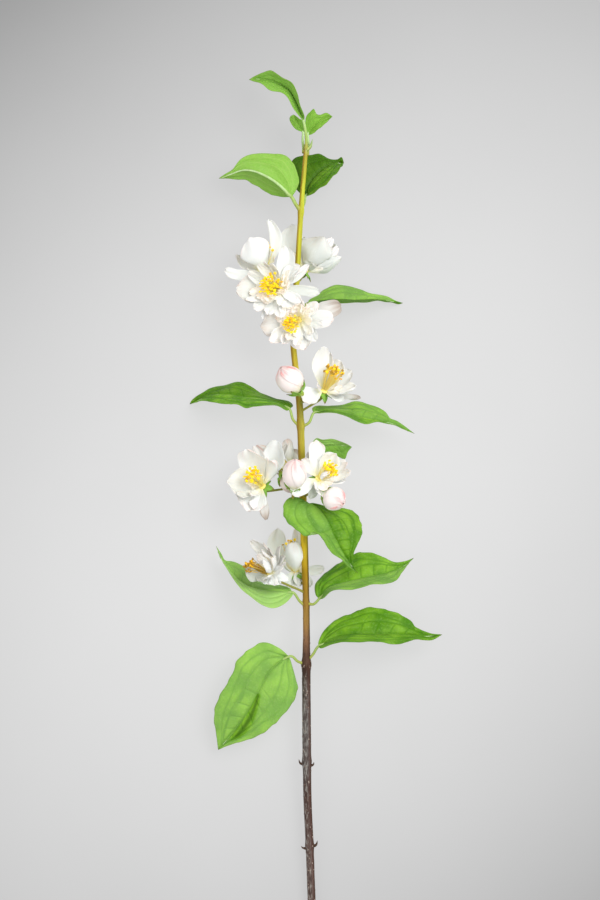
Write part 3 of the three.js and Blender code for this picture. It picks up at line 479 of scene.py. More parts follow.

# Leaves grow in opposite pairs, each a thin green blade on a short stalk that runs on below it as
# the midrib. Sunk veins part the upper face, two arched pairs near the margin and short ones from
# the midrib; the underside is paler, with raised ribs, and the margin has a few small teeth.
# Midribs and margins go through places in the photograph, each a pixel and a height.
# The last pair in each row paints light and shade on the blade's left and right halves: painted light above
# 0, painted shade below 0.
LEAVES = [
    dict(name="leaf_lower_left", stalk=[(-6.6, -106, 18.2), (-12.8, -103.8, 20.5)],
      midrib=[(289, 656.4, 22.5), (270, 671, 25), (258, 693, 24), (247, 712, 20.5), (233, 732, 15),
      (218, 750, 11)], left=[(291, 662, 23.5), (296, 680, 24), (297, 691, 25), (291, 705, 26),
      (278, 720, 26.5), (265, 731.5, 25), (252, 738, 21.5), (238, 742.5, 19), (227, 746, 14.5)],
      right=[(279, 648, 24.5), (265, 642.5, 25.5), (252, 648, 26), (238, 660, 25), (232, 675, 24.5),
      (219, 698, 22), (214.3, 716, 18), (216.5, 735, 13.5)], teeth=8, wash=(0.42, 0.42),
      crease=(0.42, -0.05, 0.79, -0.38)),
    dict(name="leaf_lower_right", stalk=[(-6.6, -104.4, 18.3), (-1.5, -98.5, 20)],
      midrib=[(318.4, 646.4, 22), (331, 638.5, 25), (350, 634, 28), (368, 634.5, 28.5), (388, 633.5, 27),
      (408, 634.5, 23.5), (426, 635.5, 19.5), (442.4, 634.5, 15)], left=[(318.5, 641, 20), (324, 631, 17),
      (338, 619, 15.5), (352, 613.5, 15), (368, 608, 15.5), (385, 610, 16.5), (398, 613.5, 17.5),
      (411, 621, 18.5), (416, 627.5, 19), (430, 633, 17.5)], right=[(322, 648.5, 30), (332, 644, 38),
      (346, 641.5, 45), (362, 641, 48.5), (378, 642.5, 48.5), (392, 643.5, 44), (405, 642.5, 37),
      (418, 639.5, 29), (432, 640, 21)], teeth=9, wash=(-0.2, -0.2)),
    dict(name="leaf_mid_right", stalk=[(-6.9, -59.3, 20.8), (-1.5, -60.6, 22.5)], midrib=[(319, 599, 24),
      (327, 588, 26.5), (345, 582, 29), (365, 577.5, 30), (385, 573, 28.5), (400, 567, 25),
      (414, 557.8, 20)], left=[(315.5, 594, 22), (315, 584, 17), (322, 576, 14.5), (333, 567.5, 13),
      (347, 558, 14), (358, 553, 16), (372, 553.5, 18.5), (385, 558, 20), (396, 562, 21),
      (405, 561, 21.5)], right=[(323, 598.5, 32), (331, 592, 40), (345, 590, 47), (360, 588, 50),
      (375, 584, 50), (388, 582.5, 46), (397, 580.5, 40), (402, 572, 33), (408, 564, 26)], teeth=7,
      wash=(0.1, 0.35)),
    dict(name="leaf_mid_left", stalk=[(-7, -61.5, 20.7), (-11.5, -58.3, 21.5)],
      midrib=[(293, 592.5, 22.5), (281, 591, 24), (266, 590, 24.5), (250, 586, 23.5), (238, 578.5, 20.5),
      (228.5, 568, 16), (222, 557.5, 14), (216, 546, 12)], left=[(291.5, 597, 26), (284, 604, 33),
      (273, 608, 37.5), (261, 605.5, 38), (250, 596.5, 35), (241, 587.5, 31), (233, 578.5, 25),
      (226, 568.5, 19), (220.5, 557.5, 15)], right=[(289, 587, 18), (280, 585.5, 12), (268, 583.5, 6.5),
      (258, 580.5, 3.5), (250.5, 574.5, 2.8), (245.5, 567.5, 4), (238.5, 564.5, 5), (231, 561, 8),
      (225, 559.5, 10), (220.5, 552.5, 11)], teeth=5, wash=(0.8, 0.5)),
    dict(name="leaf_front", stalk=[(-9, 3, 24.2), (-8.3, 8.5, 30.3)], midrib=[(307, 504.5, 33.5),
      (318, 507.5, 35.5), (327, 517.5, 36.5), (334, 533, 36.5), (343, 551, 36), (350.5, 563, 35.5),
      (358, 573.5, 34.5)], left=[(312, 502.5, 32), (320, 504, 29.5), (331, 507.5, 25), (342, 508.5, 22),
      (351, 511, 21), (357, 515.5, 22.5), (361, 524, 25.5), (362, 533.5, 29), (358, 543, 32),
      (353.5, 553, 34), (352.5, 562, 34.2)], right=[(300, 500, 32.5), (292, 497.5, 33),
      (285.5, 501.5, 34.5), (283.5, 510.5, 36.5), (286.5, 520, 39), (294.5, 528.5, 43), (303, 534.5, 47),
      (308, 535, 48.5), (312.5, 531.5, 48.5), (319.5, 535.5, 47), (326, 545, 44), (332.5, 552.5, 42),
      (341, 559, 39.5), (347, 566, 37.5)], teeth=11, wash=(-0.3, 0.3)),
    dict(name="leaf_upper_right", stalk=[(-10.8, 72.8, 27.4), (-4.5, 76, 28.5)], midrib=[(313.5, 413, 29),
      (321, 410.5, 30), (335, 410.5, 31), (350, 413.5, 32), (366, 417.5, 31), (382, 420.5, 28),
      (396, 424, 24.5), (414.8, 433.8, 18)], left=[(312, 408, 24), (317, 405, 20), (330, 406, 16.5),
      (343, 405.5, 15.5), (356, 401, 16.5), (372, 405, 18.5), (384, 411.5, 19.5), (389.5, 418.5, 20),
      (399, 422, 20)], right=[(320, 413, 33), (335, 413, 38), (347, 417, 43), (359, 421.5, 45),
      (369, 424, 41), (380, 422, 34), (392, 424.5, 28), (403, 429, 23)], teeth=6, wash=(0.3, 0.1)),
    dict(name="leaf_upper_left", stalk=[(-11, 72.8, 27.4), (-16.5, 78.3, 28.5)],
      midrib=[(289.5, 409, 29.5), (280, 402.5, 31), (263, 398.5, 31.5), (243, 396, 29), (225, 393.5, 24),
      (208, 395, 14), (189.6, 404.3, 0.6)], left=[(286.5, 410.5, 36), (277, 406, 42), (265, 405.5, 46),
      (254, 406.5, 48), (246, 408, 46), (236, 404.5, 42), (226, 404, 36), (214, 402, 28), (203, 401, 17),
      (194, 403, 7.5)], right=[(293, 405.5, 25), (288, 401, 21), (277, 399.5, 18), (262, 392.5, 16),
      (248, 385.5, 15), (236, 382, 13), (222, 386, 10.5), (209, 389, 8), (199, 394.5, 6), (192, 400, 3)],
      teeth=8, wash=(0.1, -0.5)),
    dict(name="leaf_behind", stalk=[(-9.6, 44, 26.2), (-6, 49, 22)], midrib=[(311.6, 452.7, 19.5),
      (321, 447, 18.3), (333, 445.5, 17), (344, 446, 16), (352, 446.9, 15)], left=[(310.5, 446, 20.8),
      (316, 438.5, 21.5), (323, 439.5, 21), (332, 439, 20), (341, 441.5, 18), (347.5, 444.3, 16.5)],
      right=[(316, 459, 18), (323, 460.5, 16.5), (330, 458.5, 15.8), (337, 456.5, 15.3),
      (344.5, 459, 14.8), (347.5, 452.5, 14.8)], teeth=2, wash=(0.55, 0.3)),
    dict(name="leaf_high_right", stalk=[(-15.6, 156, 30.1), (-11, 160.5, 28)], midrib=[(308, 303.3, 27),
      (322, 300, 27.5), (338, 299.3, 27.5), (356, 300, 24), (375, 299, 15.5), (390, 300.3, 7),
      (403, 303, 0.6)], left=[(309, 299.5, 22), (316, 295.5, 18), (325, 289.5, 15), (336, 285.5, 13.8),
      (348, 286, 13.5), (360, 288.8, 12.5), (370, 293.5, 10.5), (380, 295.5, 8), (388, 296.8, 5),
      (396, 300.8, 2.5)], right=[(312, 304.3, 32), (325, 303, 38), (340, 302.5, 42), (354, 303, 40),
      (366, 302, 33), (380, 301, 21), (390, 302, 11), (398, 304.3, 3.5)], teeth=6, wash=(0.4, -0.9)),
    dict(name="leaf_crown_left", rib=1.35, stalk=[(-10.6, 234.8, 31.9), (-14.3, 239, 33.5)],
      midrib=[(291.6, 197, 35), (284, 188.5, 37), (275, 181, 38.3), (265, 175, 38), (254, 170.7, 36.5),
      (243, 170, 33), (231, 174, 28), (218.5, 178.5, 22)], left=[(296.5, 189.5, 36), (299, 180, 36.5),
      (294.5, 166.5, 38), (287.5, 157, 38.5), (275, 154, 38), (262, 153.5, 37), (250, 154.5, 34.5),
      (240.1, 160, 32), (233, 169, 29), (225, 174, 26)], right=[(288, 197, 33), (278, 196.5, 30),
      (266, 192, 27.5), (256, 185, 26.5), (247, 180.5, 26), (238, 179.5, 25.5), (230, 178.5, 24.5)],
      teeth=5, wash=(-0.12, -0.3)),
    dict(name="leaf_crown_right", stalk=[(-10.5, 235, 31.9), (-8, 241, 28.5)], midrib=[(305.4, 196, 26),
      (309, 185, 24), (315, 176, 22.5), (324, 168, 21), (334, 162.5, 19.5), (344, 162.5, 18)],
      left=[(299.5, 193, 24), (292, 183, 19), (289.5, 171, 15), (293, 160, 12.8), (303, 155, 12.8),
      (312, 155, 14), (319, 154, 15), (328, 158.5, 16), (337, 159.3, 17), (341.5, 157, 17.8)],
      right=[(311, 194, 32), (320, 189, 39), (329, 181, 42), (337, 172.5, 36), (342, 166.5, 26)], teeth=6,
      wash=(-0.85, -0.5)),
    dict(name="leaf_tip_long", stalk=[(-6.6, 281, 33), (-6.8, 291, 36.5)], midrib=[(303.5, 121, 39),
      (300, 110, 40.5), (295, 99, 41), (289.5, 90.5, 41), (281, 84.5, 39.5), (270, 80.5, 37),
      (259, 79, 33), (248.8, 79.6, 29)], left=[(300, 117, 42), (294, 109, 44.5), (288, 98, 46),
      (281, 92.5, 45), (271, 90.5, 43), (262, 84, 39), (254, 81.5, 33)], right=[(304.2, 116, 43),
      (301, 106, 48), (296.5, 92, 51.5), (292, 82.5, 51), (282, 77.5, 48), (271.5, 70.4, 43),
      (262, 73, 38), (254, 76.5, 32)], teeth=4, wash=(0.7, 0.6)),
    dict(name="leaf_tip_right", stalk=[(-6, 276, 31), (-4.8, 283.5, 28.6)], midrib=[(308, 134, 29.2),
      (313, 127, 29.5), (320.5, 121, 29.3), (332.5, 116.5, 27)], left=[(305.5, 126, 31), (306, 118, 33),
      (310, 112, 34.5), (313.8, 109, 34.8), (316, 113.5, 33), (320, 115, 32), (326.5, 112.8, 30.5)],
      right=[(311, 134.5, 31), (317, 130, 33), (323, 125.5, 33), (329, 120, 30.5)], teeth=3,
      wash=(0.2, 0.15)),
    dict(name="leaf_tip_left", stalk=[(-8.2, 278, 31.4), (-9.2, 287, 28.5)], midrib=[(303, 132, 27),
      (300, 127, 26.3), (297, 122, 25.8), (293.5, 114.5, 24)], left=[(299, 130.8, 28), (294, 127.5, 28.3),
      (290.3, 122, 27.5), (290, 117, 26)], right=[(306, 128.5, 29), (304, 121.5, 29.5),
      (299, 118.5, 28.5), (296, 116, 26)], teeth=2, wash=(0.35, 0.3)),
]
BLADE, ARCH, RESTING = 0.42, 0.05, 0.6
BLADE_CELLS = (128, 52)
PETIOLE_RADIUS = 1.0
TOOTH, TOOTHED = 0.03, (0.16, 0.93)
PINNATE_SPACING, PINNATE_REACH, PINNATE_LAG = 0.115, 1.06, 0.1
MIDRIB_DIP, INNER_DIP, OUTER_DIP, PINNATE_DIP = 0.8, 0.55, 0.4, 0.22
PUFF, RUFFLE, UNEVEN = 0.1, 0.6, 0.9
NO_CREASE, CREASE_DEPTH, CREASE_SHADE = (2, 2, 3, 2), 0.9, 1.3


def eased(value, start, end):
    w = np.clip((value - start) / (end - start), 0, 1)
    return w * w * (3 - 2 * w)


def groove(distance, width):
    return np.exp(-((distance / width) ** 2))


def face_of(middle):
    """The upper side's directions of a surface that is given row by row."""
    return unit(np.cross(np.gradient(middle, axis=1), np.gradient(middle, axis=0)))


def sheet_of(middle, thickness, marks):
    """Points, faces and marks of a thin closed sheet about a middle surface, given row by row."""
    rows, columns = middle.shape[:2]
    out = face_of(middle) * np.broadcast_to(thickness, (rows, columns))[..., None] / 2
    points = np.vstack([(middle + out).reshape(-1, 3), (middle - out).reshape(-1, 3)])
    low = points[:, 2] < RESTING
    points[low, 2] = RESTING * np.exp(points[low, 2] / RESTING - 1)
    index = np.arange(rows * columns).reshape(rows, columns)
    a, b, c, d = index[:-1, :-1], index[:-1, 1:], index[1:, 1:], index[1:, :-1]
    upper = np.stack([a, b, c, d], -1).reshape(-1, 4)
    under = np.stack([a, d, c, b], -1).reshape(-1, 4) + rows * columns
    rim = np.concatenate([index[0], index[1:, -1], index[-1, -2::-1], index[-2:0:-1, 0]])
    after = np.roll(rim, -1)
    sides = np.stack([rim, rim + rows * columns, after + rows * columns, after], -1)
    both = {}
    for name, fields in marks.items():
        parts = [np.broadcast_to(part, (rows, columns)).ravel() for part in fields]
        both[name] = np.tile(np.stack(parts, -1), (2, 1))
    both["underside"] = np.repeat([0.0, 1.0], rows * columns)[:, None]
    return points, np.vstack([upper, under, sides]), both


def piece_of(name, parts, material):
    """One smooth piece from several sheets, with their marks as attributes of its points."""
    first, faces = 0, []
    for points, cells, _ in parts:
        faces.append(cells + first)
        first += len(points)
    made = bpy.data.meshes.new(name)
    made.from_pydata(np.vstack([points for points, _, _ in parts]) * MM, [], np.vstack(faces).tolist())
    for label in parts[0][2]:
        values = np.vstack([marks[label] for _, _, marks in parts])
        kind, field = ("FLOAT_VECTOR", "vector") if values.shape[1] == 3 else ("FLOAT", "value")
        made.attributes.new(label, kind, "POINT").data.foreach_set(field, values.ravel())
    made.shade_smooth()
    made.materials.append(material)
    return placed(name, made)


def joined(name, pieces):
    with bpy.context.temp_override(active_object=pieces[0], selected_editable_objects=pieces):
        bpy.ops.object.join()
    pieces[0].name = pieces[0].data.name = name
    return pieces[0]


def teeth_along(t, count, draws):
    """How far the margin's teeth stand out at t, each steep towards the tip, unevenly spaced."""
    place = np.clip((t - TOOTHED[0]) / (TOOTHED[1] - TOOTHED[0]), 0, 1) * count
    place = np.clip(place + draws.uniform(-0.2, 0.2) * np.sin(2 * np.pi * place / count), 0, count)
    w = place % 1
    sizes = draws.uniform(0.4, 1.15, count + 1)
    rise = np.where(w < 0.74, eased(w, 0.1, 0.74), 1 - eased(w, 0.74, 1.0))
    return rise * sizes[np.minimum(place.astype(int), count)]


def crease_at(leaf, t, s):
    """The depth of a fold that opens from a first point of the blade to a second one."""
    t0, s0, t1, s1 = leaf.get("crease", NO_CREASE)
    rise, run = t1 - t0, s1 - s0
    along = ((t - t0) * rise + (s - s0) * run * 0.1) / (rise**2 + run**2 * 0.1)
    along = np.clip(along, 0, 1)
    return groove(np.hypot(t - t0 - along * rise, 0.26 * (s - s0 - along * run)), 0.012 + 0.042 * along)


def leaf_sheet(leaf, number):
    """The blade as a sheet, and the path and radii of its stalk and midrib."""
    draws = np.random.default_rng(100 + number)
    rows, columns = BLADE_CELLS
    midrib = [seen(*spot) for spot in leaf["midrib"]]
    course = smooth_course(leaf["stalk"] + midrib)
    line, lengths = course
    points = len(leaf["stalk"]) + len(midrib)
    start = lengths[round(len(leaf["stalk"]) / (points - 1) * (len(line) - 1))]
    t = np.linspace(0.004, 0.996, rows)[:, None]
    s = np.linspace(-1, 1, columns)
    s = (np.sign(s) * np.abs(s) ** 1.12)[None, :]
    side, far = (s > 0).astype(int), np.abs(s)
    centre = on_course(course, start + t[:, 0] * (1 - start))[0]
    length = np.linalg.norm(np.diff(line, axis=0), axis=1).sum() * (1 - start)
    halves = []
    for edge in ("left", "right"):
        edge = smooth_course([midrib[0], *(seen(*spot) for spot in leaf[edge]), midrib[-1]])
        teeth = TOOTH * teeth_along(t, leaf["teeth"], draws)
        halves.append(((on_course(edge, t[:, 0])[0] - centre)[:, None], teeth))
    out = np.where(side[..., None] > 0, halves[1][0], halves[0][0])
    teeth = np.where(side > 0, halves[1][1], halves[0][1])
    half = np.linalg.norm(out, axis=-1)
    middle = centre[:, None] + out * (far * (1 + teeth * far**6))[..., None]

    inner = half * far - 0.47 * half * (1 - np.exp(-(t + 0.005) / 0.09)) * (1 - 0.3 * eased(t, 0.6, 1))
    inner = inner + 3 * eased(t, 0.86, 1)
    outer = half * far - half * (0.2 + 0.6 * (1 - np.exp(-(t + 0.005) / 0.12)))
    outer = outer + 3 * eased(t, 0.48, 0.62)
    branch = (t + PINNATE_LAG * np.log(1 - far / PINNATE_REACH)) / PINNATE_SPACING
    branch = branch + np.where(side == 1, 0.35, 0)
    beside = np.abs(branch - np.round(branch)) * PINNATE_SPACING * length
    pinnate = eased(t, 0.26, 0.4)

    size = np.percentile(half, 80) / 20
    within = 0.35 + 0.65 * eased(-inner, -0.5, 1.5)
    dips = MIDRIB_DIP * groove(half * far, 1.3) + INNER_DIP * groove(inner, 1.2)
    dips = dips + OUTER_DIP * groove(outer, 1.1) + PINNATE_DIP * pinnate * within * groove(beside, 0.9)
    puffs = PUFF * np.cos(2 * np.pi * branch) * pinnate * far * (1 - far**4)
    wave = draws.uniform(0, 6.28, 4)
    ruffle = far**2.2 * np.sin(wave[0] + (5 + 3 * side) * np.pi * t + wave[1] * side)
    uneven = np.sin(wave[2] + 9 * t + 3 * s) * np.sin(wave[3] + 6 * t - 5 * s) * far * (1 - t)
    raised = -dips - puffs + RUFFLE * ruffle * eased(t, 0.05, 0.3) * eased(-t, -0.95, -0.8)
    raised = raised + UNEVEN * uneven
    raised = size * raised * eased(half, 0, 4) + 4 * ARCH * half * far * (1 - far)
    crease = crease_at(leaf, t, s)
    face = face_of(middle)
    raised = raised - CREASE_DEPTH * crease * eased(half * far, 1, 4)
    middle = middle + face * raised[..., None]

    # A painted light and shade mark across the blade, going from one half's value to the other's, with
    # painted shade along the crease.
    first, second = leaf["wash"]
    marks = {
        "blade": (s * half, t * length, half * (1 - far) + 0.25 * (1 - t)),
        "veins": (inner, outer, branch),
        "share": (t, s, draws.uniform(-1, 1)),
        "wash": (first + (second - first) * eased(s * half, -1.2, 1.2) - CREASE_SHADE * crease,),
    }
    sheet = sheet_of(middle, BLADE * (1 - 0.55 * far**2) * (1 - 0.4 * t), marks)

    rib = np.linspace(0, start + 0.94 * (1 - start), 90)
    spots = on_course(course, rib)[0]
    into = np.clip((rib - start) / (1 - start), 0, 1)
    upper = face[:, columns // 2 - 1] + face[:, columns // 2]
    upper = unit(np.stack([np.interp(into, t[:, 0], upper[:, k]) for k in range(3)], -1))
    radii = leaf.get("rib", 1) * PETIOLE_RADIUS * np.interp(into, [0, 0.1, 0.5, 1], [1, 0.85, 0.5, 0.16])
    radii = radii * (1 + 0.6 * groove(rib * length / (1 - start), 3))
    spots = spots - upper * (eased(into, 0, 0.06) * (radii * 0.9 + 0.8 * size))[:, None]
    spots[:, 2] = np.maximum(spots[:, 2], radii + 0.2)
    return sheet, (spots, radii)


# Vein lines and a net of fine ones between them, read from the marks on a blade
vein_group, given = group_called("Shader", "leaf_veins", {
    "Line Width": 0.35, "Groove Width": 1.3, "Vein Spacing": 10.0, "Net Scale": 0.45,
}, ["Lines", "Grooves", "Net", "Height"])
blade = mark(vein_group, "blade", "Vector")
x, _, _ = parted(blade)
t, _, _ = parted(mark(vein_group, "share", "Vector"))
inner, outer, branch = parted(mark(vein_group, "veins", "Vector"))
apart = abs(branch - maths("ROUND", branch)) * given["Vein Spacing"]
apart = apart + faded(t, 0.38, 0.28) * 3 + faded(inner, -0.5, 3) * 0.5 + 0.12
nearest = abs(x)
for other in (abs(inner), abs(outer), apart):
    nearest = maths("MINIMUM", nearest, other)
grooves = faded(nearest, given["Groove Width"], 0)
wobble = add(vein_group, "ShaderNodeTexNoise", {"Vector": blade, "Scale": 0.3}, "Color")
bent = add(vein_group, "ShaderNodeVectorMath", {0: blade, 1: wobble}, operation="ADD")
cells = {"Vector": bent, "Scale": given["Net Scale"]}
cells = add(vein_group, "ShaderNodeTexVoronoi", cells, feature="DISTANCE_TO_EDGE")
height = cells * 0.6 - grooves * 0.5 + 0.5
gives(vein_group, faded(nearest, given["Line Width"], 0), grooves, faded(cells, 0.14, 0), height)


def leaf_finish(name, upper, deep, line, under, shaded, spacing, fine):
    """Green leaf skin: upper face and its grooves, vein lines, and the paler underside, with painted shade
    in the grooves and in broad bands, painted highlights on fine wrinkles, and painted light and shade on
    each half of the blade.
    """
    material, tree, shader = finish_called(
        name, 0.42, Specular_IOR_Level=0.14, Subsurface_Weight=0.16, Subsurface_Scale=0.0012,
        Subsurface_Radius=(0.6, 1.0, 0.25),
    )
    veins = add(tree, "ShaderNodeGroup", {"Vein Spacing": spacing}, None, node_tree=vein_group)
    where = where_in(tree)
    t, s, chance = parted(mark(tree, "share", "Vector"))
    _, _, margin = parted(mark(tree, "blade", "Vector"))
    below, wash = mark(tree, "underside"), mark(tree, "wash")
    patches = faded(noise(where, 60), 0.3, 0.7)
    # Broad darker bands are painted shade, as of folds that the blade's shape does not have. The fine
    # wrinkles are a bump and also get a painted highlight in paler green.
    painted_fold_shade = faded(noise(vector_of(t * 2.6, s * 3.4, chance * 40), 1, 2, 0.4), 0.46, 0.7)
    wrinkle_bumps_and_highlights = faded(noise(where, 650, 3, 0.6), 0.5, 0.66)
    # The sunk vein grooves get painted shade in deeper green.
    top_colour = layered(
        mixed(maths("MAXIMUM", patches, painted_fold_shade), upper, deep), (wrinkle_bumps_and_highlights * 0.16, under),
        (veins["Grooves"] * 0.6, deep), (veins["Net"] * fine, line), (veins["Lines"] * 0.3, line),
    )
    low_colour = layered(
        mixed(patches * 0.6, under, upper), (painted_fold_shade * 0.45, deep),
        (veins["Net"] * 0.25, line), (veins["Lines"] * 0.5, line),
    )
    # The blade's light and shade mark paints light towards the pale underside green and paints shade
    # towards the shaded green.
    feed(shader, Base_Color=layered(
        mixed(below, top_colour, low_colour),
        (faded(wash, 0, 1) * 0.85, under), (faded(wash, 0, -1) * 0.8, shaded),
        (faded(margin, 0.5, 0.1) * 0.55, "#6c7420"), (faded(t, 0.965, 1) * 0.6, "#4f4a1c"),
    ))
    rough = add(tree, "ShaderNodeMapRange", {"Value": below, "To Min": 0.48, "To Max": 0.75})
    feed(shader, Roughness=rough)
    relief(shader, veins["Height"] - wrinkle_bumps_and_highlights * 0.3, 4 * fine)
    return material


grown_leaf = leaf_finish("grown_leaf", "#80b02a", "#477c06", "#4d7d12", "#a8cf78", "#375c04", 10.0, 0.08)
young_leaf = leaf_finish("young_leaf", "#8ab848", "#6a9a2c", "#a4c468", "#86b450", "#436812", 6.0, 0.04)

stalk_skin, tree, shader = finish_called("leaf_stalk", 0.5, Specular_IOR_Level=0.4)
streaks = add(tree, "ShaderNodeGroup", out="Streaks", node_tree=speckle)
green = ramp(mark(tree, "reach"), [(0, "#a39a3c"), (0.1, "#9cb55a"), (0.3, "#b2d38e"), (1, "#cde4b4")])
feed(shader, Base_Color=mixed(streaks * 0.35, green, "#8a9a3a"))
relief(shader, streaks, 0.05)

for number, leaf in enumerate(LEAVES):
    sheet, rib = leaf_sheet(leaf, number)
    skin = young_leaf if "tip" in leaf["name"] or leaf["name"] == "leaf_crown_left" else grown_leaf
    blade = piece_of(leaf["name"], [sheet], skin)
    values = {"Sides": 10, "Furrow Depth": 0.08 * MM, "Furrow Scale": 1200.0, "Skin": stalk_skin}
    stalk = grown(leaf["name"] + "_stalk", skin_rule, path_mesh([rib]), values)
    whole = joined(leaf["name"] + "_blade", [blade, stalk])
    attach(whole, "root")
    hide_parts(leaf["name"])
